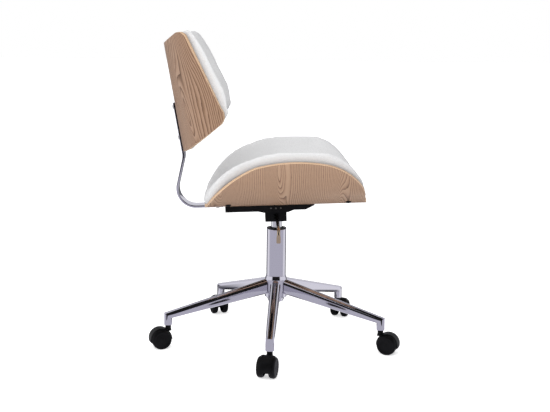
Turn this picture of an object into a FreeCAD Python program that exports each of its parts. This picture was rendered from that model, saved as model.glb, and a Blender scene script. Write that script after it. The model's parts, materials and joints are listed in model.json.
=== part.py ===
import FreeCAD, Part

import math
import os
import re

import Sketcher

# Swivel office chair with a bent-plywood seat and back, on a chromed five-leg base with twin-wheel castors.
# Row frame: +X is the front of the chair, +Y its left, +Z up. The column axis is X = Y = 0, the floor Z = 0.
# Lengths are millimetres and angles are degrees.

Vector = FreeCAD.Vector

# Driving dimensions: (name, value, what it is)
SIZES = [
    # Castors
    ("wheel_radius", 25.0, "castor wheel radius"),
    ("wheel_width", 15.5, "width of one wheel of a twin"),
    ("wheel_gap", 13.5, "space between the inner faces of a twin"),
    ("wheel_round", 3.5, "rounding of the tread's shoulders"),
    ("wheel_dish_radius", 18.0, "radius of the shallow dish in the outer face"),
    ("wheel_dish_depth", 1.0, "depth of that dish"),
    ("wheel_relief_radius", 20.5, "radius of the relief in the inner face"),
    ("wheel_relief_depth", 6.0, "depth of that relief"),
    ("wheel_boss_radius", 8.0, "boss round the axle inside the relief"),
    ("axle_radius", 4.0, "castor axle radius"),
    ("axle_grip", 12.0, "length of axle inside each wheel"),
    ("running_clearance", 0.06, "radial clearance of shafts that turn or slide"),
    ("end_clearance", 0.3, "axial clearance between moving faces"),
    ("fit_clearance", 0.03, "space left round pressed-in pieces"),
    ("hood_radius", 28.0, "outer radius of the castor hood"),
    ("hood_wall", 2.0, "wall of the castor hood"),
    ("hood_width", 31.0, "width of the castor hood"),
    ("hood_back_lip", 14.5, "angle of the trailing lip below the axle"),
    ("hood_front_lip", 3.0, "angle of the leading lip below the axle"),
    ("web_clearance", 0.6, "space between the hood's web and each wheel"),
    ("axle_boss_radius", 9.0, "boss of the web round the axle"),
    ("castor_trail", 20.0, "distance from stem axis to axle"),
    ("neck_radius", 5.8, "radius of the neck between the wheels"),
    ("collar_radius", 7.2, "radius of the collar round the stem"),
    ("collar_height", 14.5, "height of that collar"),
    ("neck_clearance", 0.5, "space between the neck and the socket"),
    ("stem_radius", 5.5, "radius of the steel stem"),
    ("stem_grip", 23.0, "length of stem inside the socket"),
    ("stem_root", 14.0, "length of stem inside the neck"),
    ("stem_tip_round", 1.0, "chamfer of the stem's upper end"),
    ("bush_wall", 1.5, "wall of the sleeve in each socket"),
    ("bush_crown", 1.5, "closed top of that sleeve"),
    ("heading_1", 254.0, "trailing direction of castor 1"),
    ("heading_2", -21.5, "trailing direction of castor 2"),
    ("heading_3", 65.0, "trailing direction of castor 3"),
    ("heading_4", 107.0, "trailing direction of castor 4"),
    ("heading_5", 198.5, "trailing direction of castor 5"),
    # Five-leg base
    ("base_radius", 280.0, "column axis to castor stem"),
    ("first_leg_angle", -94.1, "direction of leg 1"),
    ("leg_count", 5.0, "legs round the hub"),
    ("socket_bottom", 58.5, "height of a socket's lower face"),
    ("socket_radius", 10.5, "outer radius of a socket"),
    ("elbow_top", 92.0, "height of the leg's top at its elbow"),
    ("leg_root_top", 164.0, "height of the leg's top at the hub"),
    ("leg_root_width", 27.0, "width of the leg at the hub"),
    ("leg_root_height", 39.6, "height of the leg at the hub"),
    ("leg_tip_width", 20.0, "width of the leg at the elbow"),
    ("leg_tip_height", 19.1, "height of the leg at the elbow"),
    ("leg_wall", 2.0, "wall of the leg's tube"),
    ("leg_round", 8.0, "rounding of the leg's long edges"),
    ("elbow_inset", 0.25, "step from the socket to the leg's rounded end"),
    ("leg_bevel", 4.5, "bevel of the hollow's corners"),
    ("hub_radius", 28.0, "radius of the hub"),
    ("hub_bottom", 117.0, "height of the hub's lower face"),
    ("hub_top", 173.0, "height of the hub's upper face"),
    ("hub_shoulder", 9.0, "height of the sloped shoulder of the hub"),
    ("hub_rim", 0.8, "wall left at the top of that shoulder"),
    # Column
    ("tube_radius", 25.0, "outer radius of the column tube"),
    ("tube_wall", 2.0, "wall of the column tube"),
    ("tube_top", 294.0, "height of the column tube's upper end"),
    ("tube_bottom", 105.0, "height of its lower end"),
    ("tube_taper", 1.4, "loss of radius down the foot that sits in the hub"),
    ("tube_toe", 5.0, "radius lost in the rounded toe below the hub"),
    ("tube_floor", 3.0, "thickness of the tube's closed end"),
    ("guide_flange", 3.0, "thickness of the guide's flange on the tube"),
    ("guide_length", 62.0, "length of the guide inside the tube"),
    ("guide_waist", 1.5, "relief outside the guide between its end bands"),
    ("guide_band", 10.0, "length of each end band of the guide"),
    ("cylinder_radius", 14.0, "outer radius of the gas cylinder"),
    ("cylinder_bore", 11.8, "radius of the pressure bore"),
    ("cylinder_gland", 10.0, "thickness of the gland at its lower end"),
    ("cylinder_crown", 15.5, "solid metal under the release pin's hole"),
    ("cylinder_drop", 17.0, "underside of the seat to the cylinder's top"),
    ("taper_drop", 0.8, "loss of radius along that cone"),
    ("lift_stroke", 100.0, "travel of the seat"),
    ("rod_radius", 5.0, "piston rod radius"),
    ("rod_tail", 5.0, "rod below the column tube"),
    ("piston_length", 12.0, "length of the piston"),
    ("piston_margin", 4.0, "space between the raised piston and the gland"),
    ("bearing_radius", 11.0, "outer radius of the thrust bearing"),
    ("bearing_height", 5.0, "height of the thrust bearing"),
    ("washer_height", 1.5, "thickness of the washers on the rod"),
    ("buffer_height", 5.0, "height of the rubber buffer"),
    ("clip_radius", 8.5, "outer radius of the clip under the tube"),
    ("clip_height", 1.5, "thickness of that clip"),
    ("pin_radius", 4.0, "release pin radius"),
    ("pin_length", 30.0, "release pin length"),
    ("pin_proud", 5.0, "release pin above the cylinder"),
    ("pin_travel", 3.0, "travel of the release pin"),
    ("pin_tip_radius", 2.0, "radius of the release pin's tip"),
    ("pin_tip_height", 1.5, "height of its sloped tip"),
    # Mechanism under the seat, in the seat's tilted frame
    ("seat_level", 363.0, "height of the seat shell's underside on the column axis"),
    ("seat_tilt", 2.2, "rise of the seat towards its front"),
    ("plate_rear", 130.0, "column axis to the plate's rear end"),
    ("plate_front", 92.0, "column axis to the plate's front end"),
    ("plate_half_width", 61.0, "half the plate's width"),
    ("plate_sheet", 2.5, "thickness of the plate's sheet"),
    ("plate_rear_depth", 14.0, "depth of the plate's side flange at the rear"),
    ("plate_mid_depth", 17.5, "depth of that flange beside the housing"),
    ("plate_front_depth", 12.0, "depth of that flange at the front"),
    ("plate_lip", 1.5, "depth left at the front end"),
    ("plate_nose", 22.0, "length of the tapered front end"),
    ("plate_ramp", 15.0, "length of the slopes between the flange depths"),
    ("housing_length", 54.0, "length of the housing's box"),
    ("housing_half_width", 30.0, "half the width of that box"),
    ("housing_wall", 3.0, "wall of the box"),
    ("housing_depth", 46.0, "underside of the seat to the bottom of the box"),
    ("housing_back_set", 4.0, "box centre behind the column axis"),
    ("sleeve_radius", 17.0, "outer radius of the taper sleeve in the box"),
    ("sleeve_setdown", 1.0, "cylinder's top above the sleeve's top"),
    ("plate_bolt_rear", 105.0, "column axis to the rear plate bolts"),
    ("plate_bolt_front", 60.0, "column axis to the front plate bolts"),
    ("plate_bolt_side", 30.0, "centreline to the plate bolts"),
    ("rivet_radius", 1.4, "zinc rivet in the side flange"),
    ("rivet_pitch", 12.0, "spacing of the three rivets"),
    ("rivet_drop", 6.5, "plate's top to the rivets"),
    ("rivet_head", 0.8, "height of a rivet's head"),
    # Fasteners
    ("bolt_radius", 3.0, "shank radius of the bolts"),
    ("bolt_head_radius", 5.6, "head radius of the bolts"),
    ("bolt_head_height", 3.0, "head height of the bolts"),
    ("hole_clearance", 0.15, "radial clearance of bolt holes"),
    ("nut_barrel_radius", 4.2, "barrel radius of the tee nuts"),
    ("nut_flange_radius", 9.0, "flange radius of the tee nuts"),
    ("nut_flange_height", 1.2, "flange thickness of the tee nuts"),
    ("nut_depth", 6.0, "depth of a tee nut's barrel in the plywood"),
    ("cap_radius", 6.5, "radius of a black screw cap"),
    ("cap_height", 2.4, "height of a screw cap"),
    ("cap_screw_radius", 2.2, "radius of the screw behind a cap"),
    ("cap_arc", 65.0, "distance round the bend from the flat to a cap"),
    ("cap_rear", 121.0, "column axis to the rear caps"),
    ("cap_front", 172.0, "column axis to the front caps"),
    # Lever
    ("lever_radius", 4.0, "radius of the lever's rod"),
    ("lever_level", 330.0, "height of the lever's rod"),
    ("lever_back_set", 1.0, "lever rod behind the column axis"),
    ("lever_reach", 216.0, "column axis to the lever's drop"),
    ("lever_bend", 12.0, "radius of the lever's bend"),
    ("lever_drop", 31.0, "rod axis to the paddle's lower end"),
    ("paddle_width", 10.0, "width of the paddle"),
    ("paddle_thickness", 5.5, "thickness of the paddle"),
    ("pivot_setback", 22.0, "column axis to the lever's pivot"),
    ("pivot_pin_radius", 2.5, "radius of the pivot pin"),
    ("pivot_barrel_radius", 4.6, "radius of the lever's barrel on that pin"),
    ("pivot_barrel_length", 24.0, "length of that barrel"),
    ("finger_width", 9.0, "width of the finger over the release pin"),
    ("finger_thickness", 4.0, "thickness of that finger"),
    ("crank_clearance", 2.5, "space between the lever's crank and the sleeve"),
    ("lever_slot_width", 12.0, "width of the lever's slot in the housing"),
    ("lever_slot_height", 14.0, "height of that slot"),
    # Seat, in its tilted frame
    ("shell_thickness", 9.0, "plywood of the seat and back shells"),
    ("board_thickness", 5.0, "plywood of the boards in the pads"),
    ("layer_gap", 0.3, "space between shells, boards and pads"),
    ("seat_flat", 40.0, "half width of the flat underside"),
    ("seat_bend", 175.0, "outer radius of the seat's bend"),
    ("seat_rear", 182.0, "column axis to the rear edge of the seat shell"),
    ("seat_front", 226.0, "column axis to its front edge"),
    ("seat_wing", 126.0, "height of the seat's wings"),
    ("seat_front_sweep", 38.0, "sweep of the front edge at the wings"),
    ("seat_rear_sweep", 26.0, "sweep of the rear edge at the wings"),
    ("board_inset", 9.0, "shell's edge to the board's edge"),
    ("seat_pad_thickness", 44.0, "thickness of the seat pad at its middle"),
    ("seat_pad_rim", 19.0, "thickness of the seat pad at its front rim"),
    ("seat_pad_rear_rim", 34.0, "thickness of the seat pad at its rear rim"),
    ("seat_pad_overhang", 12.0, "seat pad's rim beyond the shell's edge on the wings"),
    ("pad_end_overhang", 2.0, "pad beyond the shell at the front and rear"),
    # Back, in its leaning frame: x forward, z up along the panel
    ("back_foot_x", -233.5, "lower edge of the back shell's rear face"),
    ("back_foot_z", 492.3, "height of that edge"),
    ("back_lean", 10.2, "lean of the back"),
    ("back_flat", 30.0, "half width of the flat rear face"),
    ("back_bend", 165.0, "outer radius of the back's bend"),
    ("back_height", 269.0, "height of the back shell on its centreline"),
    ("back_wing", 124.5, "forward reach of the back's wings"),
    ("back_pad_thickness", 36.0, "thickness of the back pad at its middle"),
    ("back_pad_rim", 17.0, "thickness of the back pad at its rim"),
    # Steel bar that carries the back
    ("bar_width", 50.0, "width of the bar"),
    ("bar_thickness", 6.0, "thickness of the bar"),
    ("bar_top", 122.0, "top of the bar above the back's lower edge"),
    ("bar_foot", 5.0, "bar leaves the back this far below its lower edge"),
    ("bar_upper_bend", 42.0, "radius of the bend below the back"),
    ("bar_lower_bend", 46.0, "radius of the bend behind the seat"),
    ("bar_sweep", 12.0, "rearward slope of the bar between its bends"),
    ("bar_end", 136.0, "column axis to the bar's end under the seat"),
    ("bar_bolt_seat", 150.0, "column axis to the bolts under the seat"),
    ("bar_bolt_low", 35.0, "lower bolts above the back's lower edge"),
    ("bar_bolt_high", 112.0, "upper bolts above the back's lower edge"),
    ("bar_bolt_side", 14.0, "centreline to the bar's bolts"),
    ("overrun", 10.0, "extra length of cutting shapes"),
]

# Side outlines of the two shells, as shares of the shell's length and of its wing.
# A corner starts a new edge; a via point bends the edge that passes it into an arc.
SEAT_SIDE_SHARES = [
    ("corner", 0.017, 0.127),
    ("via", 0.157, 0.611),
    ("corner", 0.319, 0.913),
    ("via", 0.529, 1.000),
    ("corner", 0.740, 0.933),
    ("via", 0.853, 0.762),
    ("corner", 0.931, 0.508),
    ("via", 0.952, 0.333),
    ("corner", 0.968, 0.175),
]
BACK_SIDE_SHARES = [
    ("corner", 0.080, 0.000),
    ("corner", 0.908, 0.230),
    ("via", 1.000, 0.312),
    ("corner", 0.972, 0.368),
    ("via", 0.787, 0.673),
    ("corner", 0.554, 1.026),
    ("via", 0.482, 1.063),
    ("corner", 0.378, 1.071),
    ("corner", 0.080, 1.000),
]

# Pads: for each share of the half width along the bend, where the pad starts and ends as shares of
# the shell's length, and how much of the pad's crown and of its two rims' thickness it has there.
SEAT_PAD_SHARES = [
    (0.000, 0.000, 1.000, 1.00, 1.00, 1.00),
    (0.100, 0.001, 0.999, 1.00, 1.00, 1.00),
    (0.155, 0.002, 0.998, 1.00, 1.00, 1.00),
    (0.210, 0.003, 0.996, 1.00, 1.00, 1.00),
    (0.300, 0.006, 0.989, 0.99, 1.00, 1.00),
    (0.400, 0.011, 0.980, 0.96, 0.97, 1.00),
    (0.560, 0.042, 0.963, 0.84, 0.88, 1.00),
    (0.700, 0.083, 0.936, 0.64, 0.62, 1.00),
    (0.820, 0.148, 0.888, 0.40, 0.54, 1.00),
    (0.900, 0.220, 0.846, 0.20, 0.50, 0.98),
    (0.955, 0.308, 0.796, 0.08, 0.46, 0.88),
    (0.985, 0.376, 0.744, 0.04, 0.38, 0.72),
    (1.000, 0.436, 0.694, 0.02, 0.24, 0.45),
]
BACK_PAD_SHARES = [
    (0.000, 0.000, 1.000, 1.00, 1.00, 1.00),
    (0.080, 0.001, 1.000, 1.00, 1.00, 1.00),
    (0.140, 0.004, 1.002, 1.00, 1.00, 1.00),
    (0.200, 0.009, 1.005, 1.00, 1.00, 1.00),
    (0.300, 0.020, 1.012, 0.96, 1.00, 1.00),
    (0.450, 0.060, 1.030, 0.86, 1.00, 1.00),
    (0.600, 0.115, 1.055, 0.66, 1.00, 1.00),
    (0.730, 0.165, 1.020, 0.42, 1.00, 1.00),
    (0.840, 0.215, 0.850, 0.22, 0.98, 0.98),
    (0.930, 0.270, 0.640, 0.08, 0.86, 0.86),
    (0.975, 0.310, 0.530, 0.04, 0.70, 0.70),
    (1.000, 0.350, 0.460, 0.02, 0.45, 0.45),
]
PAD_BULGE_SHARE = 0.35

doc = FreeCAD.newDocument("office_chair")
sheet = doc.addObject("Spreadsheet::Sheet", "Sizes")
for row, (alias, value, meaning) in enumerate(SIZES, start=1):
    sheet.set(f"A{row}", meaning)
    sheet.set(f"B{row}", str(value))
    sheet.setAlias(f"B{row}", alias)
doc.recompute()
ALIASES = {alias for alias, _, _ in SIZES}
LEGS = range(1, int(sheet.get("leg_count")) + 1)
MID_ARC = 45


def formula(text):
    """A formula in the sheet's own words, as FreeCAD reads it."""
    return re.sub(r"[a-z]\w*", lambda word: f"Sizes.{word[0]}" if word[0] in ALIASES else word[0], str(text))


def size(text):
    """The number that a formula gives."""
    result = sheet.evalExpression(formula(text))
    return float(getattr(result, "Value", result))


def bind(thing, **formulas):
    """Bind properties of an object to formulas; a double underscore stands for a dot."""
    for name, text in formulas.items():
        thing.setExpression(name.replace("__", "."), formula(text))


def place(thing, x=0, y=0, z=0, axis=Vector(0, 0, 1), angle=0):
    """Place an object, with its position and its turn bound to formulas."""
    thing.Placement = FreeCAD.Placement(Vector(size(x), size(y), size(z)), FreeCAD.Rotation(axis, size(angle)))
    bind(thing, Placement__Base__x=x, Placement__Base__y=y, Placement__Base__z=z)
    if angle != 0:
        bind(thing, Placement__Rotation__Angle=angle)
    return thing


def body(label):
    part = doc.addObject("PartDesign::Body", label)
    part.Label = label
    return part


def feature(part, kind, name, **values):
    """Add a PartDesign feature that uses plain values."""
    made = part.newObject(f"PartDesign::{kind}", name)
    for key, value in values.items():
        setattr(made, key, value)
    return made


def sketch_on(part, name, role, lift=0, x=0, y=0, axis=None, angle=0):
    """A sketch on one of the body's own origin planes, moved and turned by formulas."""
    sketch = part.newObject("Sketcher::SketchObject", name)
    plane = next(item for item in part.Origin.OriginFeatures if item.Role == role)
    sketch.AttachmentSupport = (plane, [""])
    sketch.MapMode = "FlatFace"
    turn = FreeCAD.Rotation(axis or Vector(0, 0, 1), size(angle))
    sketch.AttachmentOffset = FreeCAD.Placement(Vector(size(x), size(y), size(lift)), turn)
    bind(sketch, AttachmentOffset__Base__x=x, AttachmentOffset__Base__y=y, AttachmentOffset__Base__z=lift)
    if axis:
        bind(sketch, AttachmentOffset__Rotation__Angle=angle)
    return sketch


def pin_point(sketch, geometry, position, x, y):
    """Hold a sketch point at a place given by two formulas."""
    for kind, text in (("DistanceX", x), ("DistanceY", y)):
        index = sketch.addConstraint(Sketcher.Constraint(kind, -1, 1, geometry, position, size(text)))
        sketch.setExpression(f"Constraints[{index}]", formula(text))


def outline(sketch, points, closed=True):
    """Draw an outline, or an open path, through points (kind, x, y); a via point makes its edge an arc."""
    spots = [(kind, x, y, Vector(size(x), size(y), 0)) for kind, x, y in points]
    corners = [index for index, spot in enumerate(spots) if spot[0] == "corner"]
    edges = []
    for place_in_list, start in enumerate(corners if closed else corners[:-1]):
        end = corners[(place_in_list + 1) % len(corners)]
        between = [spots[k] for k in range(start + 1, start + (end - start) % len(spots))]
        first, last = spots[start], spots[end]
        if between:
            via = between[0]
            edge = sketch.addGeometry(Part.Arc(first[3], via[3], last[3]), False)
            spot = sketch.addGeometry(Part.Point(via[3]), True)
            pin_point(sketch, spot, 1, via[1], via[2])
            sketch.addConstraint(Sketcher.Constraint("PointOnObject", spot, 1, edge))
        else:
            edge = sketch.addGeometry(Part.LineSegment(first[3], last[3]), False)
        near_start = sketch.getPoint(edge, 1).distanceToPoint(first[3])
        ahead = near_start <= sketch.getPoint(edge, 2).distanceToPoint(first[3])
        edges.append((edge, (1, 2) if ahead else (2, 1)))
    for number, (edge, ends) in enumerate(edges):
        pin_point(sketch, edge, ends[0], spots[corners[number]][1], spots[corners[number]][2])
        if closed or number + 1 < len(edges):
            after, after_ends = edges[(number + 1) % len(edges)]
            sketch.addConstraint(Sketcher.Constraint("Coincident", edge, ends[1], after, after_ends[0]))
        else:
            pin_point(sketch, edge, ends[1], spots[corners[-1]][1], spots[corners[-1]][2])
    return sketch


def polygon(sketch, points):
    return outline(sketch, [("corner", x, y) for x, y in points])


def ring(sketch, x, y, radius):
    """A circle in a sketch."""
    circle = Part.Circle(Vector(size(x), size(y), 0), Vector(0, 0, 1), size(radius))
    edge = sketch.addGeometry(circle, False)
    pin_point(sketch, edge, 3, x, y)
    index = sketch.addConstraint(Sketcher.Constraint("Radius", edge, size(radius)))
    sketch.setExpression(f"Constraints[{index}]", formula(radius))
    return sketch


def pad(part, sketch, length, both_ways=False, down=False):
    made = feature(part, "Pad", f"{sketch.Name}_pad", Profile=sketch, Reversed=down)
    made.SideType = "Symmetric" if both_ways else "One side"
    bind(made, Length=length)
    return made


def pocket(part, sketch, length, both_ways=False, ahead=False):
    """Cut a sketch into the body; ahead cuts along the sketch's own normal."""
    made = feature(part, "Pocket", f"{sketch.Name}_cut", Profile=sketch, Reversed=ahead)
    made.SideType = "Symmetric" if both_ways else "One side"
    bind(made, Length=length)
    doc.recompute()
    if made.Shape.Volume >= made.BaseFeature.Shape.Volume:
        raise RuntimeError(f"{sketch.Name} cuts nothing")
    return made


def soften(part, radius, chosen):
    """Round the edges of the body that a test chooses."""
    doc.recompute()
    tip = part.Tip
    names = [f"Edge{number}" for number, edge in enumerate(tip.Shape.Edges, start=1) if chosen(edge)]
    made = feature(part, "Fillet", f"{part.Name}_round_{len(part.Group)}", Base=(tip, names))
    bind(made, Radius=radius)
    return made


def revolve(part, points):
    """Turn a half section, given as (radius, height), about the body's Z axis."""
    sketch = polygon(sketch_on(part, f"{part.Name}_section", "XZ_Plane"), points)
    return feature(part, "Revolution", f"{part.Name}_turned", Profile=sketch, ReferenceAxis=(sketch, ["V_Axis"]))


def turned(label, points):
    """A piece turned about the column axis."""
    part = body(label)
    revolve(part, points)
    return part


def gather(label, pieces):
    """Several like solids in one sub-part."""
    group = doc.addObject("Part::Compound", label)
    group.Label = label
    group.Links = pieces
    return group


PARTS = {}


def keep(part):
    """Count an object among the chair's sub-parts."""
    PARTS[part.Label] = part
    return part


# Places that several pieces share
TILT_AXIS = Vector(0, 1, 0)
CYLINDER_TOP = "(seat_level - cylinder_drop)"
TAPER_LENGTH = "(housing_depth - cylinder_drop)"
PIN_TOP = f"({CYLINDER_TOP} + pin_proud)"
FINGER_LEVEL = f"({PIN_TOP} + end_clearance)"
STACK_FLOOR = "(tube_bottom + tube_floor)"
STACK_WASHER = f"({STACK_FLOOR} + bearing_height + end_clearance)"
STACK_BUFFER = f"({STACK_WASHER} + washer_height)"
CYLINDER_BOTTOM = f"({STACK_BUFFER} + buffer_height + end_clearance)"
GLAND_TOP = f"({CYLINDER_BOTTOM} + cylinder_gland)"
PISTON_BOTTOM = f"({GLAND_TOP} + lift_stroke + piston_margin)"


def with_seat(thing):
    """Put an object that is modelled in the seat's frame on the chair."""
    return place(thing, z="seat_level", axis=TILT_AXIS, angle="0 - seat_tilt")


def with_back(thing):
    """Put an object that is modelled in the back's frame on the chair."""
    return place(thing, x="back_foot_x", z="back_foot_z", axis=TILT_AXIS, angle="0 - back_lean")


def leg_angle(number):
    return f"(first_leg_angle + {number - 1} * 360 / leg_count)"


def at_castor(thing, number):
    """Put an object that is modelled round a castor's stem, trailing along +X, on its leg."""
    x = f"base_radius * cos({leg_angle(number)})"
    y = f"base_radius * sin({leg_angle(number)})"
    return place(thing, x=x, y=y, angle=f"heading_{number}")


# Castors


def castor_wheel(label, number, side):
    """One wheel of a twin, turned about the axle; side is +1 or -1 along the axle."""
    part = body(label)
    inner = f"{side} * wheel_gap / 2"
    outer = f"{side} * (wheel_gap / 2 + wheel_width)"
    bore = "(axle_radius + running_clearance)"
    section = [
        (bore, inner),
        ("wheel_boss_radius", inner),
        ("wheel_boss_radius", f"{inner} + {side} * wheel_relief_depth"),
        ("wheel_relief_radius", f"{inner} + {side} * wheel_relief_depth"),
        ("wheel_relief_radius", inner),
        ("wheel_radius - wheel_round", inner),
        ("wheel_radius", f"{inner} + {side} * wheel_round"),
        ("wheel_radius", f"{outer} - {side} * wheel_round"),
        ("wheel_radius - wheel_round", outer),
        ("wheel_dish_radius", outer),
        ("wheel_dish_radius - wheel_dish_depth", f"{outer} - {side} * wheel_dish_depth"),
        (0, f"{outer} - {side} * wheel_dish_depth"),
        (0, f"{inner} + {side} * (axle_grip + end_clearance)"),
        (bore, f"{inner} + {side} * (axle_grip + end_clearance)"),
    ]
    sketch = sketch_on(part, f"{label}_section", "XY_Plane", lift="wheel_radius", x="castor_trail")
    polygon(sketch, section)
    feature(part, "Revolution", f"{label}_turned", Profile=sketch, ReferenceAxis=(sketch, ["V_Axis"]))
    return at_castor(part, number)


def castor_hood(label, number):
    """Hood over the twin wheels, with the web between them and the neck round the stem."""
    part = body(label)

    def on_arc(radius, angle):
        return f"castor_trail + ({radius}) * cos({angle})", f"wheel_radius + ({radius}) * sin({angle})"

    back, front, top = "(0 - hood_back_lip)", "(180 + hood_front_lip)", "90"
    inner = "(hood_radius - hood_wall)"
    shell = sketch_on(part, f"{label}_shell", "XZ_Plane")
    points = [("corner", *on_arc("hood_radius", back)), ("via", *on_arc("hood_radius", top))]
    points += [("corner", *on_arc("hood_radius", front)), ("corner", *on_arc(inner, front))]
    points += [("via", *on_arc(inner, top)), ("corner", *on_arc(inner, back))]
    pad(part, outline(shell, points), "hood_width", both_ways=True)
    web = sketch_on(part, f"{label}_web", "XZ_Plane")
    points = [("corner", *on_arc("hood_radius - hood_wall / 2", back))]
    points += [("via", *on_arc("hood_radius - hood_wall / 2", top))]
    points += [("corner", *on_arc("hood_radius - hood_wall / 2", front))]
    points += [("corner", *on_arc("axle_boss_radius", front)), ("via", *on_arc("axle_boss_radius", "-90"))]
    points += [("corner", *on_arc("axle_boss_radius", back))]
    pad(part, outline(web, points), "wheel_gap - 2 * web_clearance", both_ways=True)
    neck = ring(sketch_on(part, f"{label}_neck", "XY_Plane", lift="wheel_radius"), 0, 0, "neck_radius")
    pad(part, neck, "socket_bottom - neck_clearance - wheel_radius")
    collar = sketch_on(part, f"{label}_collar", "XY_Plane", lift="socket_bottom - neck_clearance - collar_height")
    pad(part, ring(collar, 0, 0, "collar_radius"), "collar_height")
    bore = sketch_on(part, f"{label}_bore", "XZ_Plane")
    ring(bore, "castor_trail", "wheel_radius", "axle_radius + fit_clearance")
    pocket(part, bore, "wheel_gap", both_ways=True)
    top_of_neck = "socket_bottom - neck_clearance"
    stem = sketch_on(part, f"{label}_stem_bore", "XY_Plane", lift=top_of_neck)
    ring(stem, 0, 0, "stem_radius + fit_clearance")
    pocket(part, stem, "stem_root")
    return at_castor(part, number)


def castor_stem(label, number):
    """Steel stem with a collar that carries the socket."""
    part = body(label)
    low = "(socket_bottom - neck_clearance - stem_root)"
    top = "(socket_bottom + stem_grip)"
    section = [
        (0, low),
        ("stem_radius", low),
        ("stem_radius", f"{top} - stem_tip_round"),
        ("stem_radius - stem_tip_round", top),
        (0, top),
    ]
    revolve(part, section)
    return at_castor(part, number)


def castor_axle(label, number):
    """Axle of a twin, fast in the web, free in the wheels."""
    part = body(label)
    sketch = ring(sketch_on(part, f"{label}_round", "XZ_Plane"), "castor_trail", "wheel_radius", "axle_radius")
    pad(part, sketch, "wheel_gap + 2 * axle_grip", both_ways=True)
    return at_castor(part, number)


for leg in LEGS:
    keep(castor_stem(f"castor_{leg}_stem", leg))
    keep(castor_hood(f"castor_{leg}_hood", leg))
    keep(castor_axle(f"castor_{leg}_axle", leg))
    keep(castor_wheel(f"castor_{leg}_wheel_left", leg, 1))
    keep(castor_wheel(f"castor_{leg}_wheel_right", leg, -1))


# Five-leg base


def leg_value(radius, root, tip):
    """A measure of the leg at this radius, from its values at the hub and at the elbow."""
    return f"({root} + ({tip} - {root}) * ({radius} - tube_radius) / (base_radius - tube_radius))"


def leg_top(radius):
    return leg_value(radius, "leg_root_top", "elbow_top")


def leg_bottom(radius):
    return leg_value(radius, "(leg_root_top - leg_root_height)", "(elbow_top - leg_tip_height)")


def leg_half_width(radius):
    return leg_value(radius, "leg_root_width", "leg_tip_width") + " / 2"


def leg_hollow_section(part, name, radius):
    """Eight-sided section of the leg's hollow at this radius."""
    half = f"({leg_half_width(radius)} - leg_wall)"
    low, high = f"({leg_bottom(radius)} + leg_wall)", f"({leg_top(radius)} - leg_wall)"
    points = [
        (f"leg_bevel - {half}", low),
        (f"{half} - leg_bevel", low),
        (half, f"{low} + leg_bevel"),
        (half, f"{high} - leg_bevel"),
        (f"{half} - leg_bevel", high),
        (f"leg_bevel - {half}", high),
        (f"0 - {half}", f"{high} - leg_bevel"),
        (f"0 - {half}", f"{low} + leg_bevel"),
    ]
    return polygon(sketch_on(part, name, "YZ_Plane", lift=radius), points)


def base_leg(label, number):
    """Tapered tube from the hub to its elbow, with the upright castor socket."""
    part = body(label)
    start, reach = "(tube_radius - overrun)", "(base_radius + leg_tip_width)"
    side = sketch_on(part, f"{label}_side", "XZ_Plane")
    lower = [(start, leg_bottom(start)), (reach, leg_bottom(reach))]
    points = [*lower, (reach, leg_top(reach)), (start, leg_top(start))]
    pad(part, polygon(side, points), "leg_root_width + overrun", both_ways=True)
    plan = sketch_on(part, f"{label}_plan", "XY_Plane")
    wide = "(leg_root_width + overrun)"
    before, beyond = "(tube_radius - 2 * overrun)", "(base_radius + 2 * leg_tip_width)"
    polygon(plan, [(before, f"0 - {wide}"), (beyond, f"0 - {wide}"), (beyond, wide), (before, wide)])
    root_half, tip_half = leg_half_width(start), leg_half_width(reach)
    one_side = [(start, f"0 - {root_half}"), (reach, f"0 - {tip_half}")]
    polygon(plan, [*one_side, (reach, tip_half), (start, root_half)])
    pocket(part, plan, "leg_root_top + overrun", ahead=True)
    soften(part, "leg_round", lambda edge: edge.BoundBox.XLength > size("base_radius / 2"))
    elbow = "(socket_radius - elbow_inset)"
    points = [
        ("corner", "base_radius", elbow),
        ("via", f"base_radius + {elbow}", 0),
        ("corner", "base_radius", f"0 - {elbow}"),
        ("corner", "base_radius", f"0 - {wide}"),
        ("corner", beyond, f"0 - {wide}"),
        ("corner", beyond, wide),
        ("corner", "base_radius", wide),
    ]
    nose = outline(sketch_on(part, f"{label}_nose", "XY_Plane"), points)
    pocket(part, nose, "leg_root_top + overrun", ahead=True)
    inner_root = leg_hollow_section(part, f"{label}_inner_root", "(tube_radius - overrun / 2)")
    inner_end = leg_hollow_section(part, f"{label}_inner_end", "(base_radius - 2 * socket_radius)")
    feature(part, "SubtractiveLoft", f"{label}_hollow", Profile=inner_root, Sections=[inner_end], Ruled=True)
    hub = sketch_on(part, f"{label}_hub", "XY_Plane", lift="socket_bottom")
    pocket(part, ring(hub, 0, 0, "hub_radius + fit_clearance"), "leg_root_top", ahead=True)
    socket = sketch_on(part, f"{label}_socket", "XY_Plane", lift="socket_bottom")
    ring(socket, "base_radius", 0, "socket_radius")
    pad(part, socket, "elbow_top - leg_tip_height / 2 - socket_bottom")
    bore = sketch_on(part, f"{label}_bore", "XY_Plane", lift="socket_bottom")
    ring(bore, "base_radius", 0, "stem_radius + running_clearance + bush_wall + fit_clearance")
    pocket(part, bore, "stem_grip + end_clearance + bush_crown + fit_clearance", ahead=True)
    return place(part, angle=leg_angle(number))


def stem_bush(number):
    """Sleeve with a closed top in a leg's socket."""
    part = body(f"stem_bush_{number}")
    bore = "(stem_radius + running_clearance)"
    ceiling = "(socket_bottom + stem_grip + end_clearance)"
    section = [
        (bore, "socket_bottom"),
        (f"{bore} + bush_wall", "socket_bottom"),
        (f"{bore} + bush_wall", f"{ceiling} + bush_crown"),
        (0, f"{ceiling} + bush_crown"),
        (0, ceiling),
        (bore, ceiling),
    ]
    revolve(part, section)
    x = f"base_radius * cos({leg_angle(number)})"
    y = f"base_radius * sin({leg_angle(number)})"
    return place(part, x=x, y=y)


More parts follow.
